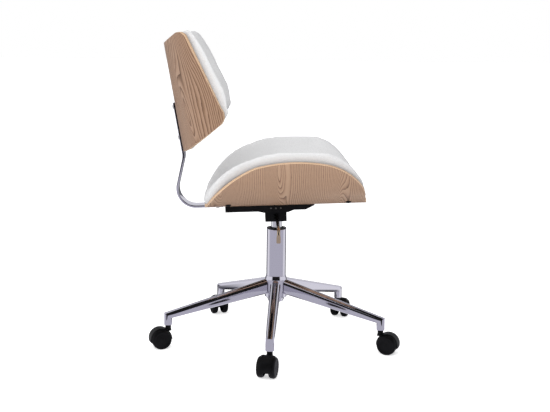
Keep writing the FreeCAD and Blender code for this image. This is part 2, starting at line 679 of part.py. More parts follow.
for leg in LEGS:
    keep(base_leg(f"base_leg_{leg}", leg))
keep(gather("stem_bushes", [stem_bush(leg) for leg in LEGS]))

FOOT_RADIUS = "(tube_radius - tube_taper)"
keep(turned("base_hub", [
    (f"{FOOT_RADIUS} + fit_clearance", "hub_bottom"),
    ("hub_radius", "hub_bottom"),
    ("hub_radius", "hub_top - hub_shoulder"),
    ("tube_radius + hub_rim", "hub_top"),
    ("tube_radius + fit_clearance", "hub_top"),
]))

# Column, with its guide, bearing and rod


keep(turned("column_tube", [
    ("rod_radius + running_clearance", "tube_bottom"),
    (f"{FOOT_RADIUS} - tube_toe", "tube_bottom"),
    (FOOT_RADIUS, "hub_bottom"),
    ("tube_radius", "hub_top"),
    ("tube_radius", "tube_top"),
    ("tube_radius - tube_wall", "tube_top"),
    ("tube_radius - tube_wall", "hub_top"),
    (f"{FOOT_RADIUS} - tube_wall", "hub_bottom"),
    (f"{FOOT_RADIUS} - tube_toe", STACK_FLOOR),
    ("rod_radius + running_clearance", STACK_FLOOR),
]))

GUIDE_BORE = "(cylinder_radius + running_clearance)"
GUIDE_SEAT = "(tube_radius - tube_wall - fit_clearance)"
keep(turned("column_guide", [
    (GUIDE_BORE, "tube_top - guide_length"),
    (GUIDE_SEAT, "tube_top - guide_length"),
    (GUIDE_SEAT, "tube_top - guide_length + guide_band"),
    (f"{GUIDE_SEAT} - guide_waist", "tube_top - guide_length + guide_band + guide_waist"),
    (f"{GUIDE_SEAT} - guide_waist", "tube_top - guide_band - guide_waist"),
    (GUIDE_SEAT, "tube_top - guide_band"),
    (GUIDE_SEAT, "tube_top"),
    ("tube_radius", "tube_top"),
    ("tube_radius", "tube_top + guide_flange"),
    ("cylinder_radius + guide_band / 2", "tube_top + guide_flange"),
    (GUIDE_BORE, "tube_top - guide_waist"),
]))

keep(turned("thrust_bearing", [
    ("rod_radius + running_clearance", STACK_FLOOR),
    ("bearing_radius", STACK_FLOOR),
    ("bearing_radius", f"{STACK_FLOOR} + bearing_height"),
    ("rod_radius + running_clearance", f"{STACK_FLOOR} + bearing_height"),
]))

keep(turned("piston_rod", [
    (0, "tube_bottom - rod_tail"),
    ("rod_radius", "tube_bottom - rod_tail"),
    ("rod_radius", PISTON_BOTTOM),
    ("cylinder_bore - running_clearance", PISTON_BOTTOM),
    ("cylinder_bore - running_clearance", f"{PISTON_BOTTOM} + piston_length"),
    (0, f"{PISTON_BOTTOM} + piston_length"),
]))


def rod_ring(label, radius, low, height):
    """A washer, clip or buffer on the piston rod."""
    return turned(label, [
        ("rod_radius + fit_clearance", low),
        (radius, low),
        (radius, f"{low} + {height}"),
        ("rod_radius + fit_clearance", f"{low} + {height}"),
    ])


keep(rod_ring("rod_washer", "bearing_radius", STACK_WASHER, "washer_height"))
keep(rod_ring("rod_buffer", "bearing_radius - washer_height", STACK_BUFFER, "buffer_height"))
keep(rod_ring("rod_clip", "clip_radius", "tube_bottom - end_clearance - clip_height", "clip_height"))

# Gas cylinder and its release pin

PIN_BORE = "(pin_radius + running_clearance)"
PIN_FLOOR = f"({PIN_TOP} - pin_length - pin_travel - end_clearance)"
keep(turned("gas_cylinder", [
    ("rod_radius + running_clearance", CYLINDER_BOTTOM),
    ("cylinder_radius", CYLINDER_BOTTOM),
    ("cylinder_radius", "seat_level - housing_depth"),
    ("cylinder_radius - taper_drop", CYLINDER_TOP),
    (PIN_BORE, CYLINDER_TOP),
    (PIN_BORE, PIN_FLOOR),
    (0, PIN_FLOOR),
    (0, f"{PIN_FLOOR} - cylinder_crown"),
    ("cylinder_bore", f"{PIN_FLOOR} - cylinder_crown"),
    ("cylinder_bore", GLAND_TOP),
    ("rod_radius + running_clearance", GLAND_TOP),
]))

keep(turned("release_pin", [
    (0, f"{PIN_TOP} - pin_length"),
    ("pin_radius", f"{PIN_TOP} - pin_length"),
    ("pin_radius", f"{PIN_TOP} - pin_tip_height"),
    ("pin_tip_radius", PIN_TOP),
    (0, PIN_TOP),
]))

# Mechanism plate and taper housing

BOLT_ROWS = ("0 - plate_bolt_rear", "plate_bolt_front")
BOLT_PLACES = [(x, y) for x in BOLT_ROWS for y in ("0 - plate_bolt_side", "plate_bolt_side")]
BAR_SEAT_PLACES = [("0 - bar_bolt_seat", y) for y in ("0 - bar_bolt_side", "bar_bolt_side")]
BAR_BOLT_ROWS = ("bar_bolt_low", "bar_bolt_high")
BAR_BACK_PLACES = [(y, z) for z in BAR_BOLT_ROWS for y in ("0 - bar_bolt_side", "bar_bolt_side")]


def mechanism_plate():
    """Pressed plate whose edges turn down into flanges, deepest beside the housing."""
    part = body("mechanism_plate")
    side = sketch_on(part, "plate_side", "XZ_Plane")
    box_rear = "(0 - housing_back_set - housing_length / 2)"
    box_front = "(housing_length / 2 - housing_back_set)"
    points = [
        ("0 - plate_rear", 0),
        ("0 - plate_rear", "0 - plate_rear_depth"),
        (f"{box_rear} - plate_ramp - plate_sheet", "0 - plate_rear_depth"),
        (f"{box_rear} - plate_sheet", "0 - plate_mid_depth"),
        (f"{box_front} + plate_sheet", "0 - plate_mid_depth"),
        (f"{box_front} + plate_sheet + plate_ramp", "0 - plate_front_depth"),
        ("plate_front - plate_nose", "0 - plate_front_depth"),
        ("plate_front", "0 - plate_lip"),
        ("plate_front", 0),
    ]
    pad(part, polygon(side, points), "2 * plate_half_width", both_ways=True)
    pan = sketch_on(part, "plate_pan", "XY_Plane", lift="0 - plate_sheet")
    half = "(plate_half_width - plate_sheet)"
    points = [
        ("plate_sheet - plate_rear", f"0 - {half}"),
        ("plate_front + overrun", f"0 - {half}"),
        ("plate_front + overrun", half),
        ("plate_sheet - plate_rear", half),
    ]
    pocket(part, polygon(pan, points), "plate_mid_depth")
    holes = sketch_on(part, "plate_holes", "XY_Plane")
    for x, y in BOLT_PLACES:
        ring(holes, x, y, "bolt_radius + hole_clearance")
    pocket(part, holes, "plate_mid_depth", both_ways=True)
    rivets = sketch_on(part, "plate_rivet_holes", "XZ_Plane")
    for step in (-1, 0, 1):
        ring(rivets, f"{step} * rivet_pitch - housing_back_set", "0 - rivet_drop", "rivet_radius + fit_clearance")
    pocket(part, rivets, "2 * plate_half_width + overrun", both_ways=True)
    return with_seat(part)


keep(mechanism_plate())


def flange_rivet(step, side):
    """A zinc rivet through the plate's side flange, with a flat head outside."""
    part = body(f"flange_rivet_{step + 1}_{'left' if side > 0 else 'right'}")
    face = "plate_half_width - plate_sheet" if side < 0 else "0 - plate_half_width"
    along = f"{step} * rivet_pitch - housing_back_set"
    shank = sketch_on(part, f"{part.Name}_shank", "XZ_Plane", lift=face)
    pad(part, ring(shank, along, "0 - rivet_drop", "rivet_radius"), "plate_sheet")
    outside = "plate_half_width" if side < 0 else "0 - plate_half_width - rivet_head"
    head = sketch_on(part, f"{part.Name}_head", "XZ_Plane", lift=outside)
    pad(part, ring(head, along, "0 - rivet_drop", "rivet_radius + rivet_head"), "rivet_head")
    return with_seat(part)


keep(gather("flange_rivets", [flange_rivet(step, side) for step in (-1, 0, 1) for side in (-1, 1)]))


def taper_housing():
    """Box under the plate, with the upright sleeve that holds the cylinder's cone."""
    box = body("housing_box")
    low = "0 - housing_depth"
    half = "housing_length / 2"
    back = "housing_back_set"
    wide = "housing_half_width"

    def rectangle(name, shrink, lift):
        sketch = sketch_on(box, name, "XY_Plane", lift=lift)
        points = [
            (f"0 - {half} - {back} + {shrink}", f"0 - {wide} + {shrink}"),
            (f"{half} - {back} - {shrink}", f"0 - {wide} + {shrink}"),
            (f"{half} - {back} - {shrink}", f"{wide} - {shrink}"),
            (f"0 - {half} - {back} + {shrink}", f"{wide} - {shrink}"),
        ]
        return polygon(sketch, points)

    pad(box, rectangle("housing_outside", "0", low), "housing_depth - plate_sheet")
    pocket(box, rectangle("housing_inside", "housing_wall", f"{low} + housing_wall"), "housing_depth", ahead=True)
    with_seat(box)
    sleeve = doc.addObject("Part::Cylinder", "housing_sleeve")
    bind(sleeve, Radius="sleeve_radius", Height=f"{TAPER_LENGTH} - sleeve_setdown - housing_wall / 2")
    place(sleeve, z="seat_level - housing_depth + housing_wall / 2")
    whole = doc.addObject("Part::MultiFuse", "housing_whole")
    whole.Shapes = [box, sleeve]
    cone = doc.addObject("Part::Cone", "housing_cone")
    bind(cone, Radius1="cylinder_radius + fit_clearance",
         Radius2="cylinder_radius + fit_clearance - taper_drop", Height=TAPER_LENGTH)
    place(cone, z="seat_level - housing_depth")
    mouth = doc.addObject("Part::Cylinder", "housing_mouth")
    bind(mouth, Radius="cylinder_radius + fit_clearance", Height="overrun")
    place(mouth, z="seat_level - housing_depth - overrun")
    slot = doc.addObject("Part::Box", "housing_lever_slot")
    bind(slot, Length="lever_slot_width", Width="2 * housing_wall + overrun", Height="lever_slot_height")
    place(slot, x="0 - lever_back_set - lever_slot_width / 2", y="0 - housing_half_width - overrun",
          z="lever_level - lever_slot_height / 2")
    pin = doc.addObject("Part::Cylinder", "housing_pin_bore")
    bind(pin, Radius="pivot_pin_radius + fit_clearance", Height="housing_length + 2 * overrun")
    place(pin, x="0 - housing_length / 2 - overrun", y="0 - pivot_setback", z="lever_level",
          axis=TILT_AXIS, angle="90")
    tools = doc.addObject("Part::MultiFuse", "housing_cuts")
    tools.Shapes = [cone, mouth, slot, pin]
    housing = doc.addObject("Part::Cut", "taper_housing")
    housing.Label = "taper_housing"
    housing.Base = whole
    housing.Tool = tools
    return housing


keep(taper_housing())

# Lever, its finger over the release pin, and its pivot


def lever():
    """Rod with a flattened drop at its outer end, and a crank to the finger over the release pin."""
    part = body("lever")
    drop_start = "(lever_level - lever_bend)"
    corner = f"(lever_bend * (1 - cos({MID_ARC})))"
    start_ring = sketch_on(part, "lever_start", "XZ_Plane", lift="pivot_setback")
    ring(start_ring, "0 - lever_back_set", "lever_level", "lever_radius")
    path = sketch_on(part, "lever_path", "YZ_Plane", lift="0 - lever_back_set")
    points = [
        ("corner", "0 - pivot_setback", "lever_level"),
        ("corner", "lever_bend - lever_reach", "lever_level"),
        ("via", f"{corner} - lever_reach", f"lever_level - {corner}"),
        ("corner", "0 - lever_reach", drop_start),
        ("corner", "0 - lever_reach", f"{drop_start} - paddle_thickness / 2"),
    ]
    feature(part, "AdditivePipe", "lever_rod", Profile=start_ring, Spine=outline(path, points, closed=False))
    paddle = sketch_on(part, "lever_paddle", "YZ_Plane", lift="0 - lever_back_set")
    left = "0 - lever_reach - paddle_thickness / 2"
    right = "0 - lever_reach + paddle_thickness / 2"
    low = "lever_level - lever_drop"
    points = [(left, drop_start), (left, low), (right, low), (right, drop_start)]
    pad(part, polygon(paddle, points), "paddle_width", both_ways=True)
    barrel = sketch_on(part, "lever_barrel", "YZ_Plane", lift="0 - lever_back_set")
    ring(barrel, "0 - pivot_setback", "lever_level", "pivot_barrel_radius")
    pad(part, barrel, "pivot_barrel_length", both_ways=True)
    crank = sketch_on(part, "lever_crank", "YZ_Plane", lift=0)
    rear = "0 - pivot_setback - pivot_barrel_radius"
    front = "0 - pivot_setback + pivot_barrel_radius"
    wrist = "0 - sleeve_radius - crank_clearance"
    points = [
        (rear, "lever_level"),
        (wrist, "lever_level"),
        (wrist, FINGER_LEVEL),
        ("pin_radius", FINGER_LEVEL),
        ("pin_radius", f"{FINGER_LEVEL} + finger_thickness"),
        (rear, f"{FINGER_LEVEL} + finger_thickness"),
    ]
    pad(part, polygon(crank, points), "finger_width", both_ways=True)
    bore = sketch_on(part, "lever_pin_bore", "YZ_Plane", lift="0 - lever_back_set")
    ring(bore, "0 - pivot_setback", "lever_level", "pivot_pin_radius + running_clearance")
    pocket(part, bore, "pivot_barrel_length + overrun", both_ways=True)
    return part


keep(lever())


def lever_pivot():
    """Pivot pin across the housing."""
    pin = doc.addObject("Part::Cylinder", "lever_pivot")
    pin.Label = "lever_pivot"
    bind(pin, Radius="pivot_pin_radius", Height="housing_length")
    shift = "(seat_level - lever_level) * sin(seat_tilt)"
    return place(pin, x=f"0 - housing_length / 2 - housing_back_set + {shift}", y="0 - pivot_setback",
                 z="lever_level", axis=TILT_AXIS, angle="90")


keep(lever_pivot())

# Bent plywood


def side_points(shares, x0, along, z0, rise):
    """Turn outline shares into formulas."""
    return [(kind, f"{x0} + {a} * {along}", f"{z0} + {b} * {rise}") for kind, a, b in shares]


def trough(part, name, role, flat, radius, thickness, level, length):
    """Bent sheet: a flat middle and two quarter bends, padded along its straight direction."""
    sketch = sketch_on(part, name, role)
    inner = f"({radius} - {thickness})"
    centre = f"({level} + {radius})"
    low, high = level, f"{level} + {thickness}"
    out_side = f"{flat} + {radius} * sin({MID_ARC})"
    out_low = f"{centre} - {radius} * cos({MID_ARC})"
    in_side = f"{flat} + {inner} * sin({MID_ARC})"
    in_low = f"{centre} - {inner} * cos({MID_ARC})"
    around = [
        ("corner", f"0 - {flat}", low),
        ("corner", flat, low),
        ("via", out_side, out_low),
        ("corner", f"{flat} + {radius}", centre),
        ("corner", f"{flat} + {inner}", centre),
        ("via", in_side, in_low),
        ("corner", flat, high),
        ("corner", f"0 - {flat}", high),
        ("via", f"0 - ({in_side})", in_low),
        ("corner", f"0 - {flat} - {inner}", centre),
        ("corner", f"0 - {flat} - {radius}", centre),
        ("via", f"0 - ({out_side})", out_low),
    ]
    if role == "XY_Plane":
        around = [(kind, z, y) for kind, y, z in around]
    pad(part, outline(sketch, around), f"2 * {length}", both_ways=True)


def frame_cut(part, name, role, points, reach, depth):
    """Cut away everything outside an outline."""
    sketch = sketch_on(part, name, role)
    back = f"0 - {reach}"
    polygon(sketch, [(back, back), (reach, back), (reach, reach), (back, reach)])
    outline(sketch, points)
    pocket(part, sketch, depth, both_ways=True)


def seat_panel(label, radius, thickness, level, inset):
    """A bent panel of the seat: a trough along X, trimmed in side view and in plan."""
    part = body(label)
    length = "(seat_rear + seat_front)"
    trough(part, f"{label}_bend", "YZ_Plane", "seat_flat", radius, thickness, level, length)
    x0 = f"{inset} - seat_rear"
    along = f"(seat_rear + seat_front - 2 * {inset})"
    rise = f"(seat_wing - {inset})"
    side = side_points(SEAT_SIDE_SHARES, x0, along, 0, rise)
    behind, ahead = f"{x0} - overrun", f"{x0} + {along} + overrun"
    side = [("corner", behind, side[0][2])] + side + [("corner", ahead, side[-1][2])]
    side = [("corner", behind, "0 - overrun")] + side + [("corner", ahead, "0 - overrun")]
    reach = "(seat_rear + seat_front + overrun)"
    frame_cut(part, f"{label}_side", "XZ_Plane", side, reach, "2 * (seat_flat + seat_bend + overrun)")
    wide = "(seat_flat + seat_bend + overrun)"
    plan = [
        ("corner", f"seat_front - {inset} - seat_front_sweep", f"0 - {wide}"),
        ("via", f"seat_front - {inset}", 0),
        ("corner", f"seat_front - {inset} - seat_front_sweep", wide),
        ("corner", f"{inset} - seat_rear + seat_rear_sweep", wide),
        ("via", f"{inset} - seat_rear", 0),
        ("corner", f"{inset} - seat_rear + seat_rear_sweep", f"0 - {wide}"),
    ]
    frame_cut(part, f"{label}_plan", "XY_Plane", plan, reach, "2 * (seat_bend + overrun)")
    return part


def back_panel(label, radius, thickness, level, inset):
    """A bent panel of the back: a trough along Z that opens forwards, trimmed in side view."""
    part = body(label)
    trough(part, f"{label}_bend", "XY_Plane", "back_flat", radius, thickness, level, "(2 * back_height)")
    side = side_points(BACK_SIDE_SHARES, 0, f"(back_wing - {inset})", inset, f"(back_height - 2 * {inset})")
    side = [("corner", "0 - overrun", side[0][2])] + side + [("corner", "0 - overrun", side[-1][2])]
    reach = "(2 * back_height + 2 * overrun)"
    frame_cut(part, f"{label}_side", "XZ_Plane", side, reach, "2 * (back_flat + back_bend + overrun)")
    return part


def holes_in_seat(part, places, radius, level, depth):
    """Round holes down through the flat of a seat panel."""
    sketch = sketch_on(part, f"{part.Name}_holes_{len(part.Group)}", "XY_Plane", lift=level)
    for x, y in places:
        ring(sketch, x, y, radius)
    pocket(part, sketch, depth)


def holes_in_back(part, places, radius, level, depth):
    """Round holes back through the flat of a back panel."""
    sketch = sketch_on(part, f"{part.Name}_holes_{len(part.Group)}", "YZ_Plane", lift=level)
    for y, z in places:
        ring(sketch, y, z, radius)
    pocket(part, sketch, depth)


SEAT_NUT_PLACES = BOLT_PLACES + BAR_SEAT_PLACES
CAP_ANGLE = "(cap_arc / seat_bend * 180 / pi)"
CAP_PLACES = [(x, side) for x in ("0 - cap_rear", "cap_front") for side in (-1, 1)]


def cap_offset(side, radius):
    """Point on a bend of this radius at the caps' angle, as (across, up)."""
    across = f"{side} * (seat_flat + {radius} * sin({CAP_ANGLE}))"
    return across, f"(seat_bend - {radius} * cos({CAP_ANGLE}))"


def cap_holes(part, radius):
    """Holes square to the bend where the capped screws pass."""
    for x, side in CAP_PLACES:
        across, up = cap_offset(side, "(seat_bend + overrun)")
        name = f"{part.Name}_cap_hole_{len(part.Group)}"
        sketch = sketch_on(part, name, "XY_Plane", x=x, y=across, lift=up,
                           axis=Vector(1, 0, 0), angle=f"{side} * {CAP_ANGLE}")
        ring(sketch, 0, 0, radius)
        pocket(part, sketch, "2 * (shell_thickness + board_thickness + overrun)", ahead=True)


def nut_seats(part, cut, places, level):
    """Stepped holes for tee nuts: the bolt's way, the barrel and the flange."""
    cut(part, places, "bolt_radius + hole_clearance", level, "shell_thickness + overrun")
    cut(part, places, "nut_barrel_radius + fit_clearance", level, "nut_depth")
    cut(part, places, "nut_flange_radius + fit_clearance", level, "nut_flange_height")


BOARD_LEVEL = "(shell_thickness + layer_gap)"
seat_shell = seat_panel("seat_shell", "seat_bend", "shell_thickness", 0, 0)
nut_seats(seat_shell, holes_in_seat, SEAT_NUT_PLACES, "shell_thickness")
cap_holes(seat_shell, "cap_screw_radius + hole_clearance")
keep(with_seat(seat_shell))
seat_board = seat_panel("seat_board", f"(seat_bend - {BOARD_LEVEL})", "board_thickness", BOARD_LEVEL, "board_inset")
cap_holes(seat_board, "cap_screw_radius")
keep(with_seat(seat_board))

back_shell = back_panel("back_shell", "back_bend", "shell_thickness", 0, 0)
nut_seats(back_shell, holes_in_back, BAR_BACK_PLACES, "shell_thickness")
keep(with_back(back_shell))
back_board = back_panel("back_board", f"(back_bend - {BOARD_LEVEL})", "board_thickness", BOARD_LEVEL, "board_inset")
keep(with_back(back_board))

# Pads


def pad_station(flat, bend, arc, ends, rims, top, to_frame):
    """Closed section of a pad, square to the bend at this distance round it."""
    turn = math.copysign(max(abs(arc) - flat, 0) / bend, arc)
    base = math.copysign(min(abs(arc), flat), arc)

    def spot(along, height):
        return to_frame(along, base + (bend - height) * math.sin(turn), bend - (bend - height) * math.cos(turn))

    start, end = ends
    rear, front = rims
    first, last = start + rear * PAD_BULGE_SHARE, end - front * PAD_BULGE_SHARE
    low_start, low_end = spot(first, 0), spot(last, 0)
    high_start, high_end = spot(first, rear), spot(last, front)
    edges = [
        Part.makeLine(low_start, low_end),
        Part.Arc(low_end, spot(end, front / 2), high_end).toShape(),
        Part.Arc(high_end, spot((start + end) / 2, top), high_start).toShape(),
        Part.Arc(high_start, spot(start, rear / 2), low_start).toShape(),
    ]
    return Part.Wire(edges)


def soft_pad(label, shares, flat, bend, wing, length, overhang, rims, thickness, to_frame):
    """Soft pad with a crown, from sheet dimensions: a loft through sections that follow the bend."""
    beyond = size("pad_end_overhang")
    wing_turn = math.acos(1 - size(wing) / size(bend))
    inner_bend = size(f"{bend} - {PAD_LEVEL}")
    half_arc = size(flat) + inner_bend * wing_turn + size(overhang)
    along = size(length) + 2 * beyond
    rear_rim, front_rim = size(rims[0]), size(rims[1])
    sides = [(-share[0], *share[1:]) for share in reversed(shares[1:])] + list(shares)
    stations = []
    for across, start, end, crown, rear, front in sides:
        ends = start * along - beyond, end * along - beyond
        edges = rear * rear_rim, front * front_rim
        top = max(edges) + crown * (size(thickness) - max(rear_rim, front_rim))
        stations.append(pad_station(size(flat), inner_bend, across * half_arc, ends, edges, top, to_frame))
    solid = doc.addObject("Part::Feature", label)
    solid.Label = label
    solid.Shape = Part.makeLoft(stations, True, False)
    return solid


PAD_LEVEL = f"({BOARD_LEVEL} + board_thickness + layer_gap)"


def seat_spot(along, across, height):
    """Place in the seat's frame of a point measured from the shell's rear edge."""
    return Vector(along - size("seat_rear"), across, height + size(PAD_LEVEL))


def back_spot(along, across, height):
    """Place in the back's frame of a point measured from the shell's lower edge."""
    return Vector(height + size(PAD_LEVEL), across, along)


keep(with_seat(soft_pad("seat_cushion", SEAT_PAD_SHARES, "seat_flat", "seat_bend", "seat_wing",
                        "seat_rear + seat_front", "seat_pad_overhang", ("seat_pad_rear_rim", "seat_pad_rim"),
                        "seat_pad_thickness", seat_spot)))
keep(with_back(soft_pad("back_cushion", BACK_PAD_SHARES, "back_flat", "back_bend", "back_wing",
                        "back_height", 0, ("back_pad_rim", "back_pad_rim"), "back_pad_thickness", back_spot)))

# Bar from the seat to the back


def back_bar():
    """Flat steel bar: up the back's rear face, round two bends and under the seat."""
    part = body("back_bar")
    lean, sweep, tilt = "back_lean", "bar_sweep", "seat_tilt"
    half = "(bar_thickness / 2)"
    upper, lower = "bar_upper_bend", "bar_lower_bend"

    def along_back(height, depth):
        x = f"(back_foot_x - ({height}) * sin({lean}) + ({depth}) * cos({lean}))"
        z = f"(back_foot_z + ({height}) * cos({lean}) + ({depth}) * sin({lean}))"
        return x, z

    def on_circle(centre, radius, angle):
        return f"({centre[0]} + ({radius}) * cos({angle}))", f"({centre[1]} + ({radius}) * sin({angle}))"

    def along_seat(x, depth):
        row_x = f"(({x}) * cos({tilt}) - ({depth}) * sin({tilt}))"
        row_z = f"(seat_level + ({x}) * sin({tilt}) + ({depth}) * cos({tilt}))"
        return row_x, row_z

    face_top = along_back("bar_top", "0")
    rear_top = along_back("bar_top", "0 - bar_thickness")
    face_foot = along_back("0 - bar_foot", "0")
    rear_foot = along_back("0 - bar_foot", "0 - bar_thickness")
    centre = along_back("0 - bar_foot", f"0 - {upper} - {half}")
    upper_start, upper_end = f"({lean})", f"(0 - {sweep})"
    upper_middle = f"(({lean} - {sweep}) / 2)"
    face_low = on_circle(centre, f"{upper} + {half}", upper_end)
    rear_low = on_circle(centre, f"{upper} - {half}", upper_end)
    # The lower bend touches the sloping run and the bar's run under the seat: its centre lies one
    # bend radius from both, found by sliding down the sloping run.
    run_x, run_z = on_circle(centre, upper, upper_end)
    base_x = f"({run_x} + {lower} * cos({sweep}))"
    base_z = f"({run_z} - {lower} * sin({sweep}))"
    wanted = f"(seat_level + ({lower} - {half}) / cos({tilt}))"
    slide = (f"(({base_z} - {wanted} - {base_x} * tan({tilt}))"
             f" / (cos({sweep}) - sin({sweep}) * tan({tilt})))")
    turn = (f"({base_x} - {slide} * sin({sweep}))", f"({base_z} - {slide} * cos({sweep}))")
    begin, finish = f"(180 - {sweep})", f"(270 + {tilt})"
    mid = f"((450 - {sweep} + {tilt}) / 2)"
    outer, inner = f"{lower} + {half}", f"{lower} - {half}"
    points = [
        ("corner", *rear_top),
        ("corner", *face_top),
        ("corner", *face_foot),
        ("via", *on_circle(centre, f"{upper} + {half}", upper_middle)),
        ("corner", *face_low),
        ("corner", *on_circle(turn, inner, begin)),
        ("via", *on_circle(turn, inner, mid)),
        ("corner", *on_circle(turn, inner, finish)),
        ("corner", *along_seat("0 - bar_end", "0")),
        ("corner", *along_seat("0 - bar_end", "0 - bar_thickness")),
        ("corner", *on_circle(turn, outer, finish)),
        ("via", *on_circle(turn, outer, mid)),
        ("corner", *on_circle(turn, outer, begin)),
        ("corner", *rear_low),
        ("via", *on_circle(centre, f"{upper} - {half}", upper_middle)),
        ("corner", *rear_foot),
    ]
    pad(part, outline(sketch_on(part, "bar_side", "XZ_Plane"), points), "bar_width", both_ways=True)
    seat_holes = sketch_on(part, "bar_seat_holes", "XY_Plane", lift="seat_level", axis=TILT_AXIS, angle="0 - seat_tilt")
    for x, y in BAR_SEAT_PLACES:
        ring(seat_holes, x, y, "bolt_radius + hole_clearance")
    pocket(part, seat_holes, "2 * bar_thickness")
    back_holes = sketch_on(part, "bar_back_holes", "YZ_Plane", lift="back_foot_x", y="back_foot_z",
                           axis=Vector(1, 0, 0), angle="0 - back_lean")
    for y, z in BAR_BACK_PLACES:
        ring(back_holes, y, z, "bolt_radius + hole_clearance")
    pocket(part, back_holes, "2 * bar_thickness")
    return part


keep(back_bar())

# Bolts, tee nuts and capped screws


def fastener(label, role, x, y, start, steps):
    """Round steps (radius, length) one after another, from a level along the plane's normal."""
    part = body(label)
    level = start
    for number, (radius, length) in enumerate(steps):
        pad(part, ring(sketch_on(part, f"{label}_step_{number}", role, lift=level), x, y, radius), length)
        level = f"{level} + {length}"
    return part


def tee_nut(label, role, x, y, level):
    """Flanged nut sunk in the plywood, bored for its bolt."""
    part = fastener(label, role, x, y, f"{level} - nut_depth", [
        ("nut_barrel_radius", "(nut_depth - nut_flange_height)"),
        ("nut_flange_radius", "nut_flange_height"),
    ])
    bore = sketch_on(part, f"{label}_bore", role, lift=level)
    pocket(part, ring(bore, x, y, "bolt_radius + fit_clearance"), "nut_depth")
    return part


def bolts(label, role, places, thickness, put):
    """Bolts with round heads below a sheet, their ends level with the plywood's other face."""
    made = []
    shank = f"({thickness} + shell_thickness - end_clearance)"
    steps = [("bolt_head_radius", "bolt_head_height"), ("bolt_radius", shank)]
    for number, (x, y) in enumerate(places, start=1):
        start = f"0 - {thickness} - bolt_head_height"
        made.append(put(fastener(f"{label}_{number}", role, x, y, start, steps)))
    return gather(label, made)


def nuts(label, role, places, put):
    """Tee nuts in a shell."""
    made = [put(tee_nut(f"{label}_{number}", role, x, y, "shell_thickness"))
            for number, (x, y) in enumerate(places, start=1)]
    return gather(label, made)


def capped_screw(number, x, side):
    """Black cap on the bend's outside, with its screw into the board."""
    part = body(f"seat_cap_{number}")
    for name, radius, stand_off, length in (
        ("cap", "cap_radius", "cap_height", "cap_height"),
        ("screw", "cap_screw_radius", "fit_clearance", "shell_thickness + layer_gap + board_thickness"),
    ):
        across, up = cap_offset(side, f"(seat_bend + {stand_off})")
        sketch = sketch_on(part, f"{part.Name}_{name}", "XY_Plane", x=x, y=across, lift=up,
                           axis=Vector(1, 0, 0), angle=f"{side} * {CAP_ANGLE}")
        pad(part, ring(sketch, 0, 0, radius), length)
    return with_seat(part)


keep(bolts("plate_bolts", "XY_Plane", BOLT_PLACES, "plate_sheet", with_seat))
keep(bolts("bar_seat_bolts", "XY_Plane", BAR_SEAT_PLACES, "bar_thickness", with_seat))
keep(bolts("bar_back_bolts", "YZ_Plane", BAR_BACK_PLACES, "bar_thickness", with_back))
keep(nuts("seat_nuts", "XY_Plane", SEAT_NUT_PLACES, with_seat))
keep(nuts("back_nuts", "YZ_Plane", BAR_BACK_PLACES, with_back))
screws = [capped_screw(number, x, side) for number, (x, side) in enumerate(CAP_PLACES, start=1)]
keep(gather("seat_caps", screws))

doc.recompute()
os.makedirs("parts", exist_ok=True)
faults = [item.Name for item in doc.Objects if "Invalid" in item.State or "Error" in item.State]
for label, part in PARTS.items():
    if part.Shape.isNull() or not part.Shape.isValid() or part.Shape.Volume <= 0:
        faults.append(label)
if faults:
    raise RuntimeError(f"failed objects: {faults}")
for label, part in PARTS.items():
    part.Shape.exportStep(f"parts/{label}.step")
print(len(PARTS), "sub-parts")
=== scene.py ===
"""Looks of a swivel office chair: bent ash with white padded leather, a chromed star base and black castors.

Row frame: +X is the front of the chair, +Y its left, +Z up, in metres. The column axis is X = Y = 0 and the
floor is Z = 0. Each sub-assembly is a class whose fields are its sizes; each finish is a frozen dataclass.
"""

import functools
import json
import logging
import math
from collections.abc import Callable
from dataclasses import dataclass, field
from enum import Enum

import bpy
import numpy as np
from mathutils import Matrix, Vector

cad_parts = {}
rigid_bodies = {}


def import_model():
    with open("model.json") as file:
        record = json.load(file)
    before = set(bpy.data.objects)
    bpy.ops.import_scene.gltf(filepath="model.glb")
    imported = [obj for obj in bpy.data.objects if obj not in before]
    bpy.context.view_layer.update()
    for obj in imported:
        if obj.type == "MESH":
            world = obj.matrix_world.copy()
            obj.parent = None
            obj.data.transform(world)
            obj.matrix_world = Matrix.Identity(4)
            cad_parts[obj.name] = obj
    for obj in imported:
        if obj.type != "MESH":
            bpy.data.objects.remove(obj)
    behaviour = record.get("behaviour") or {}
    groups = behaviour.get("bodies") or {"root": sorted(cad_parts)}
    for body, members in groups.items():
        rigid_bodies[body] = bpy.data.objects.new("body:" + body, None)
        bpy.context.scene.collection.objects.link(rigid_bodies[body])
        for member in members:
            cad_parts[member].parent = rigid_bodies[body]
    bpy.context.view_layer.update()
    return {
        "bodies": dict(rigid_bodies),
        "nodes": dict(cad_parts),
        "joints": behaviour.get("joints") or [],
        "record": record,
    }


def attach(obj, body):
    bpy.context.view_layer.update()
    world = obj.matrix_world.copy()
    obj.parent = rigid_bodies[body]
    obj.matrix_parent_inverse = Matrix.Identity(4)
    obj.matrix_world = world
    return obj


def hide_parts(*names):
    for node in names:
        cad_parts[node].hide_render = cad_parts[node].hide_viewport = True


log = logging.getLogger("chair")
MM = 0.001
SHARP_ANGLE = math.radians(38.0)
Y_AXIS = np.array([0.0, 1.0, 0.0])

# How far the seat rises to the front and the back leans, in degrees, and where their outer faces start.
SEAT_RISE = 2.2
SEAT_LEVEL = 363.0 * MM
BACK_LEAN = 10.2
BACK_FOOT = (-233.5 * MM, 492.3 * MM)


class Side(Enum):
    """The two wheels of a twin castor, seen along its trail."""

    LEFT = 1
    RIGHT = -1


# Axes and surfaces


